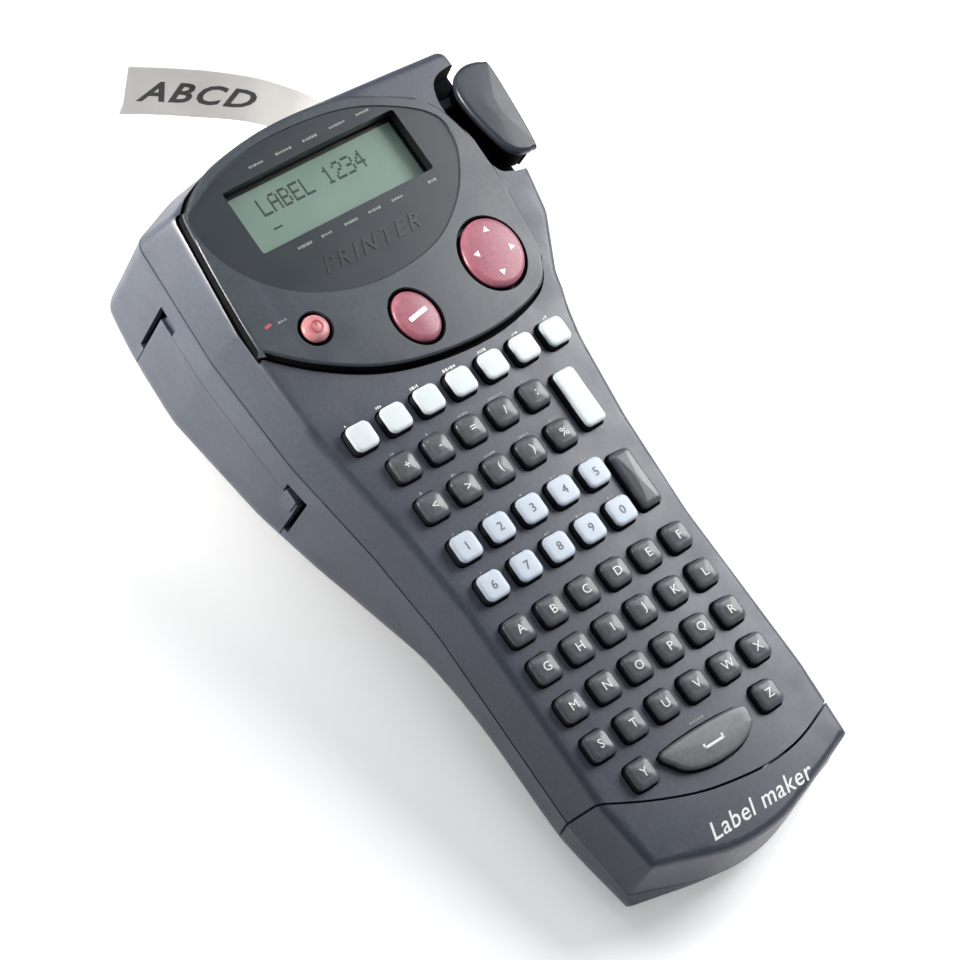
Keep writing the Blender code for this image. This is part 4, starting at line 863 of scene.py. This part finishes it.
def make_fascia():
    bm = bmesh.new()
    edge = inset(FASCIA_OUTLINE, 0.15)
    levels = [(edge, FASCIA_BOTTOM), (edge, lambda x, y: fascia_top(x, y) - 0.95)]
    for k in range(1, 7):
        a = math.radians(15.0 * k)
        levels.append((inset(edge, 0.95 * (1.0 - math.cos(a))),
                       lambda x, y, d=0.95 * (1.0 - math.sin(a)): fascia_top(x, y) - d))
    add_stack(bm, levels)
    slice_across(bm, [3.1 * i for i in range(-14, 16)], (1, 0, 0), 0.02)
    for vert in bm.verts:
        if vert.co.z > 1.0 and abs(vert.co.z - fascia_top(vert.co.x, 0)) < 0.9:
            near = [f for f in vert.link_faces if len(f.verts) > 4 or f.calc_area() > 8.0]
            if near and all(abs(v.co.z - fascia_top(v.co.x, 0)) < 0.5 for f in near for v in f.verts):
                vert.co.z = fascia_top(vert.co.x, 0)
    split_bent_faces(bm)
    paint(bm, lambda middle: middle.z < fascia_top(middle.x, 0.0) - 0.45)
    obj = piece("head_fascia_panel", to_mesh("head_fascia_panel", bm), ["fascia", "pit"])
    bm = bmesh.new()
    levels = [(inset(LENS_OUTLINE, -grow), lambda x, y, d=rise: fascia_top(x, y) - LENS_DEPTH + d)
              for grow, rise in ((0.0, -0.02), (0.25, 0.12), (0.38, 0.40))]
    add_stack(bm, levels + [(inset(LENS_OUTLINE, -0.6), 12.0)])
    slice_across(bm, [3.1 * i + 1.5 for i in range(-14, 15)], (1, 0, 0), 0.02)
    for vert in bm.verts:
        floor = fascia_top(vert.co.x, 0) - LENS_DEPTH - 0.02
        if vert.co.z < floor + 0.06:
            vert.co.z = floor
    split_bent_faces(bm)
    paint(bm, lambda middle: middle.z < fascia_top(middle.x, 0.0) - 0.25)
    boolean(obj, cutter("cut_lens", bm, ["fascia", "lens"]), "DIFFERENCE")
    bm = bmesh.new()
    for outline, (x, y, _, _, _) in zip(button_outlines(0.85), (NAV, PRINT, POWER)):
        top = fascia_top(x, y)
        add_stack(bm, [(outline, -12.0), (outline, top - 0.6), (inset(outline, -0.12), top - 0.25),
                       (inset(outline, -0.30), top + 0.05), (inset(outline, -0.5), 12.0)])
    paint(bm, lambda middle: middle.z < 1.0)
    boolean(obj, cutter("cut_buttons", bm, ["fascia", "pit"]), "DIFFERENCE")
    bm = bmesh.new()
    x, y = 0.5 * (SCREEN_X0 + SCREEN_X1), 0.5 * (SCREEN_Y0 + SCREEN_Y1)
    hx, hy = 0.5 * (SCREEN_X1 - SCREEN_X0), 0.5 * (SCREEN_Y1 - SCREEN_Y0)
    top = fascia_top(x, y) - LENS_DEPTH
    add_stack(bm, [(rounded(x, y, hx + grow, hy + grow, radius), z) for grow, radius, z in (
        (0.0, 0.8, -12.0), (0.0, 0.8, top - 0.5), (0.06, 0.9, top - 0.12), (0.2, 1.0, top + 0.02),
        (0.3, 1.1, 12.0))])
    paint(bm, lambda middle: middle.z > top - 0.5)
    boolean(obj, cutter("cut_screen", bm, ["mask", "lens"]), "DIFFERENCE")
    place(applied(obj, 32.0), "case", "fascia", "head_fascia")


GLYPHS = {
    "A": "01110 10001 10001 11111 10001 10001 10001", "B": "11110 10001 10001 11110 10001 10001 11110",
    "C": "01110 10001 10000 10000 10000 10001 01110", "1": "00100 01100 00100 00100 00100 00100 01110",
    "2": "01110 10001 00001 00110 01000 10000 11111", "3": "11110 00001 00001 01110 00001 00001 11110",
    "E": "11111 10000 10000 11110 10000 10000 11111", "L": "10000 10000 10000 10000 10000 10000 11111",
    "4": "00010 00110 01010 10010 11111 00010 00010", "0": "01110 10001 10011 10101 11001 10001 01110",
    " ": "00000 00000 00000 00000 00000 00000 00000",
}


def make_display():
    bm = bmesh.new()
    x, y = 0.5 * (SCREEN_X0 + SCREEN_X1), 0.5 * (SCREEN_Y0 + SCREEN_Y1)
    hx, hy = 0.5 * (SCREEN_X1 - SCREEN_X0) + 2.6, 0.5 * (SCREEN_Y1 - SCREEN_Y0) + 2.6
    add_stack(bm, [(rounded(x, y, hx - less, hy - less, 1.0), z)
                   for less, z in ((0.15, -2.9), (0.0, -2.75), (0.0, -2.25), (0.15, -2.1))])
    window = piece("display_window_pane", to_mesh("display_window_pane", bm), ["window"])
    place(window, "case", "window", "display_window")
    bm = bmesh.new()
    frame_box = (SCREEN_X0 - 4.0, SCREEN_X1 + 4.6, SCREEN_Y0 - 4.4, SCREEN_Y1 + 3.2)
    glass = (SCREEN_X0 - 1.0, SCREEN_X1 + 1.0, SCREEN_Y0 - 1.0, SCREEN_Y1 + 1.0)

    def ring(box, grow, radius):
        cx, cy = 0.5 * (box[0] + box[1]), 0.5 * (box[2] + box[3])
        return rounded(cx, cy, 0.5 * (box[1] - box[0]) + grow, 0.5 * (box[3] - box[2]) + grow, radius, 4)

    add_stack(bm, [(ring(*shape), z) for *shape, z in (
        (frame_box, 0, 1.2, -8.0), (frame_box, 0, 1.2, -5.2), (frame_box, -0.3, 1.0, -4.9),
        (glass, 0.0, 0.8, -4.9), (glass, 0.0, 0.8, -3.35), (glass, -0.12, 0.7, -3.22))])
    add_box(bm, SCREEN_X0 + 0.1, SCREEN_X1 - 0.4, SCREEN_Y0 + 0.1, SCREEN_Y1 - 1.2, -3.24, -3.19, 1)
    pitch_x, pitch_y = 0.60, 0.76
    for n, letter in enumerate("LABEL 1234"):
        for r, bits in enumerate(GLYPHS[letter].split()):
            for c, bit in enumerate(bits):
                if bit == "1":
                    px = -17.2 + (6 * n + c) * pitch_x
                    py = 134.2 - r * pitch_y
                    add_box(bm, px, px + 0.57, py - 0.72, py, -3.2, -3.16, 2)
    add_box(bm, -17.2, -14.3, 124.6, 125.1, -3.2, -3.16, 2)
    lcd = piece("lcd_cell", to_mesh("lcd_cell", bm), ["mask", "lcd", "segment"])
    place(lcd, "case", "lcd", "lcd_module")


# ---- lettering and small printed marks -------------------------------------------------------------
def text_mesh(body, size, shear=0.0, bold=0.0, thick=0.02, spacing=1.0):
    """Letters as a mesh in millimetres, centred on their own middle, lying in x-y."""
    data = bpy.data.curves.new("lettering", "FONT")
    data.body = body
    data.size = size
    data.shear = shear
    data.offset = bold
    data.extrude = thick
    data.space_character = spacing
    data.align_x = "CENTER"
    data.align_y = "CENTER"
    data.resolution_u = 3
    obj = bpy.data.objects.new("lettering", data)
    bpy.context.scene.collection.objects.link(obj)
    graph = bpy.context.evaluated_depsgraph_get()
    graph.update()
    mesh = bpy.data.meshes.new_from_object(obj.evaluated_get(graph))
    bpy.data.objects.remove(obj)
    xs = [v.co.x for v in mesh.vertices]
    ys = [v.co.y for v in mesh.vertices]
    middle = Vector((0.5 * (min(xs) + max(xs)), 0.5 * (min(ys) + max(ys)), 0.0))
    mesh.transform(Matrix.Translation(-middle))
    return mesh


LETTER_CACHE = {}


def stamp(bm, body, matrix, material, size, shear=0.0, bold=0.0, thick=0.02, spacing=1.0, height=None):
    """Adds letters to bm; height(x, y), if given, lays them on a curved surface."""
    key = (body, size, shear, bold, thick, spacing)
    if key not in LETTER_CACHE:
        LETTER_CACHE[key] = text_mesh(*key)
    start = len(bm.verts)
    faces = len(bm.faces)
    bm.from_mesh(LETTER_CACHE[key])
    bm.verts.ensure_lookup_table()
    bm.faces.ensure_lookup_table()
    for vert in bm.verts[start:]:
        vert.co = matrix @ vert.co
        if height is not None:
            vert.co.z += height(vert.co.x, vert.co.y)
    for face in bm.faces[faces:]:
        face.material_index = material


# ---- keys ------------------------------------------------------------------------------------------
def cap_shape(white):
    """(shoulder width, shoulder height, rise of the top's middle) of a white or a grey key."""
    return (0.9, 0.9, 0.05) if white else (1.75, 1.25, 0.28)


def add_cap(bm, x, y, hx, hy, radius, drop, bottom, top_mat=0, side_mat=1, white=False):
    """One key cap: straight near-black skirt that paints the shade along the key sides, rounded shoulder and a
    top that swells a little.
    """
    shoulder, height, swell = cap_shape(white)
    top = KEY_TOP - drop
    start = top - swell - height
    skirt = rounded(x, y, hx, hy, radius)
    add_stack(bm, [(skirt, bottom), (skirt, start)], side_mat, False)
    levels = []
    for k in range(9):
        a = math.radians(11.25 * k)
        shrink = shoulder * (1.0 - math.cos(a))
        levels.append((rounded(x, y, hx - shrink, hy - shrink, max(0.5, radius - 0.55 * shrink)),
                       start + height * math.sin(a)))
    ix, iy = hx - shoulder, hy - shoulder
    inner = max(0.5, radius - 0.55 * shoulder)
    for k in range(1, 6):
        share = 1.0 - k / 5.6
        levels.append((rounded(x, y, ix * share, iy * share, inner * share), top - swell * share * share))
    rings = add_stack(bm, levels, top_mat, False)
    face = bm.faces.new(rings[-1])
    face.material_index = top_mat


def cap_top(x, y, cx, cy, hx, hy, drop, white):
    shoulder, _, swell = cap_shape(white)
    share = min(1.0, max(abs(x - cx) / (hx - shoulder), abs(y - cy) / (hy - shoulder)))
    return KEY_TOP - drop - swell * share * share


def flange_levels(outline_at, bottom, top, skirt):
    return [(outline_at(1.0), bottom), (outline_at(1.1), bottom + 0.15), (outline_at(1.1), top - 0.15),
            (outline_at(1.0), top), (skirt, top)]


def finish_key(name, bm, materials, body, slot, node_name):
    bmesh.ops.remove_doubles(bm, verts=bm.verts, dist=0.0005)
    obj = piece(name, to_mesh(name, bm), materials, 50.0)
    place(obj, body, slot, node_name)


def make_single_keys():
    half = 0.5 * CAP
    for name, x, y, look, legend in single_keys():
        drop = crown(x, y)
        bm = bmesh.new()
        add_cap(bm, x, y, half, half, 1.9, drop, FLANGE_TOP + 1.0 - drop, white=look != "key_grey")
        outline = rounded(x, y, half, half, 1.9)
        add_stack(bm, flange_levels(lambda g: rounded(x, y, half + g, half + g, 1.9 + g),
                                    FLANGE_BOTTOM + 1.0 - drop, FLANGE_TOP + 1.0 - drop, outline), 1)
        if legend:
            lay = lambda u, v: cap_top(u, v, x, y, half, half, drop, look != "key_grey") + 0.06
            stamp(bm, legend, Matrix.Translation((x, y, 0.0)), 2, 3.5, 0.0, 0.0, 0.04, height=lay)
        inks = {"key_white": "grey_ink", "key_lilac": "grey_ink", "key_grey": "white_ink"}
        finish_key(f"{name}_cap", bm, [look, "key_skirt_painted_shade", inks[look]], name, look, name)
    for name, y, look in TALL_KEYS:
        drop = crown(TALL_X, y)
        bm = bmesh.new()
        hx, hy = half - 0.3, TALL_HALF
        add_cap(bm, TALL_X, y, hx, hy, 1.5, drop, FLANGE_TOP + 1.0 - drop, white=look != "key_grey")
        add_stack(bm, flange_levels(lambda g: rounded(TALL_X, y, hx + g, hy + g, 1.5 + g),
                                    FLANGE_BOTTOM + 1.0 - drop, FLANGE_TOP + 1.0 - drop,
                                    rounded(TALL_X, y, hx, hy, 1.5)), 1)
        finish_key(f"{name}_cap", bm, [look, "key_skirt_painted_shade"], name, look, name)


def make_letter_rows():
    half = 0.5 * CAP
    for name, y, row, letters in letter_rows():
        bm = bmesh.new()
        x0, x1 = row[0] - 0.5 * FLANGE, row[-1] + 0.5 * FLANGE
        cx, hx = 0.5 * (x0 + x1), 0.5 * (x1 - x0)
        wide, narrow = rounded(cx, y, hx, 4.9, 1.2), rounded(cx, y, hx - 0.1, 4.8, 1.2)
        add_stack(bm, [(narrow, FLANGE_BOTTOM), (wide, FLANGE_BOTTOM + 0.15), (wide, FLANGE_TOP - 0.15),
                       (narrow, FLANGE_TOP)], 1)
        for i, x in enumerate(row):
            drop = crown(x, y)
            add_cap(bm, x, y, half, half, 1.9, drop, FLANGE_TOP - 0.05)
            lay = lambda u, v: cap_top(u, v, x, y, half, half, drop, False) + 0.06
            stamp(bm, letters[i], Matrix.Translation((x, y, 0.0)), 2, 3.5, 0.0, 0.0, 0.04, height=lay)
        finish_key(f"{name}_keys", bm, ["key_grey", "key_skirt_painted_shade", "white_ink"], name, "key_grey", name)


def make_space_bar():
    outline = smoothed(SPACE, 6)
    bm = bmesh.new()
    levels = [(outline, FLANGE_TOP + 0.9), (outline, KEY_TOP - 2.0)]
    for k in range(1, 7):
        a = math.radians(15.0 * k)
        levels.append((inset(outline, 0.9 * (1.0 - math.cos(a))), KEY_TOP - 2.0 + 1.1 * math.sin(a)))
    rim = inset(outline, 0.9)
    for k in range(1, 5):
        share = 1.0 - 0.2 * k
        levels.append(([(0.2 + (x - 0.2) * share, -50.4 + (y + 50.4) * share) for x, y in rim],
                       KEY_TOP - 0.9 + 0.05 * k))
    flange = inset(outline, -1.0)
    add_stack(bm, [(flange, FLANGE_BOTTOM + 0.9), (flange, FLANGE_TOP + 0.9)] + levels)
    # The bar's sides below the shoulder take the near-black skirt: painted shade.
    paint(bm, lambda middle: middle.z < KEY_TOP - 2.0)
    for x0, x1, y1 in ((-3.4, 3.4, -50.5), (-3.4, -2.8, -49.7), (2.8, 3.4, -49.7)):
        add_box(bm, x0, x1, -51.2, y1, KEY_TOP - 1.0, KEY_TOP - 0.66, 2)
    obj = piece("key_space_cap", to_mesh("key_space_cap", bm), ["bar_grey", "key_skirt_painted_shade", "white_ink"], 40.0)
    place(obj, "key_space", "key_grey", "key_space")


def button_mesh(name, x, y, a, b, turn, materials, body, detail):
    bm = bmesh.new()
    at = lambda d: ellipse(x, y, a - 0.1 - d, b - 0.1 - d, turn, 72)
    levels = [(at(2.5), -7.4), (at(2.5), -3.4), (at(-1.0), -3.4), (at(-1.0), -2.8), (at(0.0), -2.8),
              (at(0.0), 1.6), (at(0.0), BUTTON_TOP - 1.7)]
    for k in range(1, 9):
        t = math.radians(90.0 * k / 8)
        levels.append((at(1.8 * (1.0 - math.cos(t))), BUTTON_TOP - 1.7 + 1.3 * math.sin(t)))
    for k in range(1, 7):
        share = k / 7.0
        levels.append(([(x + (u - x) * (1.0 - share), y + (v - y) * (1.0 - share)) for u, v in at(1.8)],
                       BUTTON_TOP - 0.4 + 0.38 * (1.0 - (1.0 - share) ** 2)))
    add_stack(bm, levels, 0)
    # The sides below z = 1, down in the gap round the button, take the black plastic: painted shade in the gap.
    paint(bm, lambda middle: middle.z < 1.0)
    detail(bm)
    obj = piece(name, to_mesh(name, bm), materials, 40.0)
    place(obj, body, "maroon", body)


def make_buttons():
    def nav_marks(bm):
        x, y, _, _, turn = NAV
        for dx, dy in ((0.0, 6.3), (0.0, -6.3), (-5.2, 0.0), (5.2, 0.0)):
            spin = Matrix.Rotation(math.radians(turn), 2)
            u = spin @ Vector((dx, dy))
            z = BUTTON_TOP - (0.40 if u.length > 5.8 else 0.30)
            point = math.atan2(u.y, u.x)
            angles = [point + k * 2.0944 for k in range(3)]
            tri = [(x + u.x + 1.15 * math.cos(a), y + u.y + 1.15 * math.sin(a)) for a in angles]
            add_stack(bm, [(tri, z - 0.3), (tri, z + 0.26)], 2)

    button_mesh("nav_pad_rubber", *NAV, ["maroon", "black", "white_ink"], "nav_pad", nav_marks)

    def print_mark(bm):
        px, py = PRINT[:2]
        bar = rounded(px, py, 3.2, 0.7, 0.35, 3)
        c, s = 0.98, 0.17
        turned = [(px + (u - px) * c - (v - py) * s, py + (u - px) * s + (v - py) * c) for u, v in bar]
        add_stack(bm, [(turned, BUTTON_TOP - 0.3), (turned, BUTTON_TOP + 0.03)], 2)

    button_mesh("print_button_rubber", *PRINT, ["maroon", "black", "white_ink"], "button_print", print_mark)

    def power_mark(bm):
        px, py = POWER[:2]
        low = BUTTON_TOP - 0.3
        add_stack(bm, [(circle(px, py, radius, 32), z) for radius, z in (
            (1.75, low), (1.75, BUTTON_TOP), (1.35, BUTTON_TOP), (1.35, low))], 2, False)
        add_box(bm, px - 0.2, px + 0.2, py + 0.2, py + 1.3, BUTTON_TOP - 0.3, BUTTON_TOP + 0.03, 2)

    button_mesh("power_button_rubber", *POWER, ["power", "black", "red_ink"], "button_power", power_mark)


# ---- printed legends on the case -------------------------------------------------------------------
def print_patch(bm, x, y, w, h, z, material=0, turn=0.0):
    c, s = math.cos(turn), math.sin(turn)
    corners = ((-w / 2, -h / 2), (w / 2, -h / 2), (w / 2, h / 2), (-w / 2, h / 2))
    outline = [(x + c * u - s * v, y + s * u + c * v) for u, v in corners]
    add_stack(bm, [(outline, z - 0.05), (outline, z + 0.02)], material)


def add_dashes(bm, x, y, z, total, height, material=0):
    """A short run of unreadable strokes where the case has a small printed legend."""
    u = x - 0.5 * total
    while u < x + 0.5 * total - 0.3:
        width = random.choice((0.35, 0.5, 0.7))
        print_patch(bm, u + 0.5 * width, y, width, height * random.choice((0.7, 1.0, 1.0)), z, material)
        u += width + 0.28


def make_legends():
    bm = bmesh.new()
    half = 0.5 * CAP
    for i in range(7):
        x, y = (i - 3) * COLUMN, ROW_Y[0]
        add_dashes(bm, x + 0.4, y + half + 1.35, -crown(x, y), random.uniform(3.0, 5.5), 0.8, 0)
    for row in (1, 2):
        for i in range(5):
            x, y = (i - 2.5) * COLUMN, ROW_Y[row]
            add_dashes(bm, x + 1.4, y + half + 1.15, -crown(x, y), random.uniform(2.2, 4.6), 0.7, 1)
    for row in (3, 4):
        for i in range(5):
            x, y = (i - 2.42) * COLUMN, ROW_Y[row]
            add_dashes(bm, x + 1.0, y + half + 1.1, -crown(x, y), random.uniform(1.0, 2.6), 0.7, 1)
    add_dashes(bm, TALL_X + 0.4, 45.1 - TALL_HALF - 1.3, -crown(TALL_X, 40.0), 3.6, 0.7, 1)
    add_dashes(bm, 1.0, -43.3, 0.0, 5.0, 0.7, 1)
    for x, total in ((-15.0, 4.6), (-7.5, 3.8), (0.5, 4.4), (8.5, 4.2), (16.5, 4.2), (28.6, 3.0)):
        add_dashes(bm, x, 115.8, fascia_top(x, 0.0) - LENS_DEPTH, total, 0.8, 1)
    for x, total in ((-13.0, 5.0), (-4.0, 5.4), (5.0, 5.2), (14.0, 5.2), (23.0, 4.8)):
        add_dashes(bm, x, 141.4, fascia_top(x, 0.0) - LENS_DEPTH, total, 0.7, 1)
    print_patch(bm, -37.2, 101.1, 3.2, 0.8, fascia_top(-37.2, 0.0), 2, 0.12)
    add_dashes(bm, -32.6, 100.5, fascia_top(-32.6, 0.0), 4.4, 0.6, 1)
    obj = piece("printed_legends", to_mesh("printed_legends", bm), ["white_ink", "pale_ink", "red_ink"])
    place(obj, "case", "key_white")


def make_words():
    """Generic words where the object carries printing: on the chin and under the display."""
    bm = bmesh.new()
    turn = Matrix.Translation((3.0, -69.6, 0.0))
    stamp(bm, "Label maker", turn, 0, 6.6, 0.32, 0.04, 0.03, 1.08, height=lambda x, y: -crown(x, y))
    obj = piece("chin_printing", to_mesh("chin_printing", bm), ["white_ink"])
    place(obj, "case", "key_white")
    bm = bmesh.new()
    turn = Matrix.Translation((2.0, 108.2, 0.0))
    stamp(bm, "PRINTER", turn, 0, 6.6, 0.38, 0.07, 0.14, 1.35,
          height=lambda x, y: fascia_top(x, y) - LENS_DEPTH + 0.03)
    obj = piece("fascia_relief", to_mesh("fascia_relief", bm), ["black"])
    place(obj, "case", "black")


# ---- tape ------------------------------------------------------------------------------------------
TAPE_FINE = open_spline(TAPE_PATH, 8)


def tape_up(y):
    """Across the tape: upright in the slot, leaning back more and more beyond it."""
    lean = TAPE_LEAN * min(1.0, max(0.0, (y - TAPE_LEAN_Y) / 30.0))
    return Vector((0.0, math.sin(lean), math.cos(lean)))


def tape_frame(s):
    """Place on the tape at a distance from its free end: centre, direction to the end, up."""
    total = 0.0
    for i in range(len(TAPE_FINE) - 1, 0, -1):
        a, b = TAPE_FINE[i], TAPE_FINE[i - 1]
        step = (a - b).length
        if total + step >= s:
            here = a + (b - a) * ((s - total) / step)
            along = (a - b).normalized()
            break
        total += step
    return Vector((here.x, here.y, TAPE_Z)), along.to_3d(), tape_up(here.y)


def make_tape():
    bm = bmesh.new()
    rings = []
    across = 6
    for i, here in enumerate(TAPE_FINE):
        along = (TAPE_FINE[min(i + 1, len(TAPE_FINE) - 1)] - TAPE_FINE[max(i - 1, 0)]).normalized().to_3d()
        side = Vector((-along.y, along.x, 0.0)) * (0.5 * TAPE_THICK)
        up = tape_up(here.y) * TAPE_HALF
        centre = Vector((here.x, here.y, TAPE_Z))
        square = 0.0 if i < len(TAPE_FINE) - 1 else TAPE_SLANT
        ring = []
        for sign in (-1.0, 1.0):
            for k in range(across + 1):
                t = (-1.0 + 2.0 * k / across) * -sign
                curl = side * sign * (1.0 if 0 < k < across else 0.75)
                back = along * square * (0.5 + 0.5 * t)
                ring.append(bm.verts.new(centre + up * t + curl - back))
        rings.append(ring)
    count = len(rings[0])
    bm.faces.new(rings[0])
    for a, b in zip(rings, rings[1:]):
        for i in range(count):
            j = (i + 1) % count
            bm.faces.new((a[j], a[i], b[i], b[j]))
    bm.faces.new(list(reversed(rings[-1])))
    lettering = text_mesh("ABCD", 11.0, 0.36, 0.30, 0.012, 1.16)
    start = len(bm.verts)
    bm.from_mesh(lettering)
    bm.verts.ensure_lookup_table()
    long_edges = [e for e in bm.edges if e.verts[0].index >= start and e.calc_length() > 1.5]
    bmesh.ops.subdivide_edges(bm, edges=long_edges, cuts=3, use_grid_fill=False)
    bm.verts.ensure_lookup_table()
    for vert in bm.verts[start:]:
        centre, along, up = tape_frame(21.2 + vert.co.x)
        outward = Vector((-along.y, along.x, 0.0))
        vert.co = centre + up * vert.co.y + outward * (0.5 * TAPE_THICK + 0.012 + vert.co.z)
    mesh = to_mesh("label_tape_strip", bm)
    obj = piece("label_tape_strip", mesh, ["film", "black_ink"], 30.0)
    for polygon in mesh.polygons:
        if max(polygon.vertices) >= start:
            polygon.material_index = 1
    place(obj, "case", "paper", "label_tape")


# ---- lever -----------------------------------------------------------------------------------------
def make_lever():
    outline = LEVER_OUTLINE
    bm = bmesh.new()
    levels = [(inset(outline, 1.6), LEVER_BOTTOM), (inset(outline, 1.2), LEVER_BOTTOM + 0.4),
              (inset(outline, 1.2), LEVER_TOP - 3.8), (inset(outline, 0.25), LEVER_TOP - 3.2),
              (outline, LEVER_TOP - 2.6), (outline, LEVER_TOP - 1.5)]
    for k in range(1, 9):
        a = math.radians(90.0 * k / 8)
        levels.append((inset(outline, 1.3 * (1.0 - math.cos(a))), LEVER_TOP - 1.5 + 1.2 * math.sin(a)))
    rim = inset(outline, 1.3)
    for k in range(1, 5):
        share = 1.0 - 0.2 * k
        levels.append(([(57.6 + (x - 57.6) * share, 126.0 + (y - 126.0) * share) for x, y in rim],
                       LEVER_TOP - 0.3 + 0.07 * k))
    add_stack(bm, levels)
    paint(bm, lambda middle: middle.z < LEVER_TOP - 2.9)
    obj = piece("thumb_lever_grip", to_mesh("thumb_lever_grip", bm), ["lever", "pit"])
    bm = bmesh.new()
    add_box(bm, 45.0, 55.0, 134.0, 136.6, -7.8, -5.2)
    boolean(obj, cutter("add_lever_arm", bm), "UNION")
    bm = bmesh.new()
    wide, narrow = circle(*LEVER_PIVOT, 3.0, 24), circle(*LEVER_PIVOT, 1.7, 24)
    add_stack(bm, [(wide, LEVER_BOTTOM - 1.0), (wide, LEVER_BOTTOM + 4.4), (narrow, LEVER_BOTTOM + 4.4),
                   (narrow, LEVER_TOP - 2.6)])
    boolean(obj, cutter("cut_spring_room", bm, ["pit"]), "DIFFERENCE")
    place(applied(obj, 35.0), "thumb_lever", "slate", "cutter_lever")


# ---- carried-over pieces ---------------------------------------------------------------------------
def dress(node_name, look, sharp=30.0, bevel=0.0):
    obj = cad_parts[node_name]
    mesh = obj.data
    mesh.materials.clear()
    mesh.materials.append(M[look])
    mesh.polygons.foreach_set("material_index", [0] * len(mesh.polygons))
    smooth(mesh, sharp)
    if bevel:
        soft = obj.modifiers.new("soft_edges", "BEVEL")
        soft.width = bevel
        soft.segments = 2
        soft.limit_method = "ANGLE"
        soft.angle_limit = math.radians(40.0)
        soft.harden_normals = True


def dress_nodes():
    for name, look, bevel in (
        ("main_board", "board", 0.0), ("keypad_mat", "silicone", 0.0), ("cutter_spring", "steel", 0.0),
        ("cutter_blade", "steel", 0.0001), ("idler_gear", "acetal", 0.0), ("platen_gear", "acetal", 0.0),
        ("motor_pinion", "brass", 0.0), ("platen_roller", "rubber", 0.0), ("motor", "zinc", 0.0001),
        ("mechanism_chassis", "black", 0.0002), ("print_head", "steel", 0.0001),
        ("tape_cassette", "black", 0.0003), ("tape_spool", "acetal", 0.0002),
        ("battery_1", "jacket", 0.0), ("battery_2", "jacket", 0.0), ("battery_3", "jacket", 0.0),
        ("battery_4", "jacket", 0.0), ("contacts_front", "zinc", 0.0001), ("contacts_rear", "zinc", 0.0001),
    ):
        dress(name, look, 30.0, bevel)


make_camera()
make_stage()
make_upper_case()
make_lower_case()
make_end_cap()
make_doors()
make_fascia()
make_display()
make_single_keys()
make_letter_rows()
make_space_bar()
make_buttons()
make_legends()
make_words()
make_tape()
make_lever()
dress_nodes()
for helper in CUTTER_OBJECTS:
    bpy.data.objects.remove(helper, do_unlink=True)
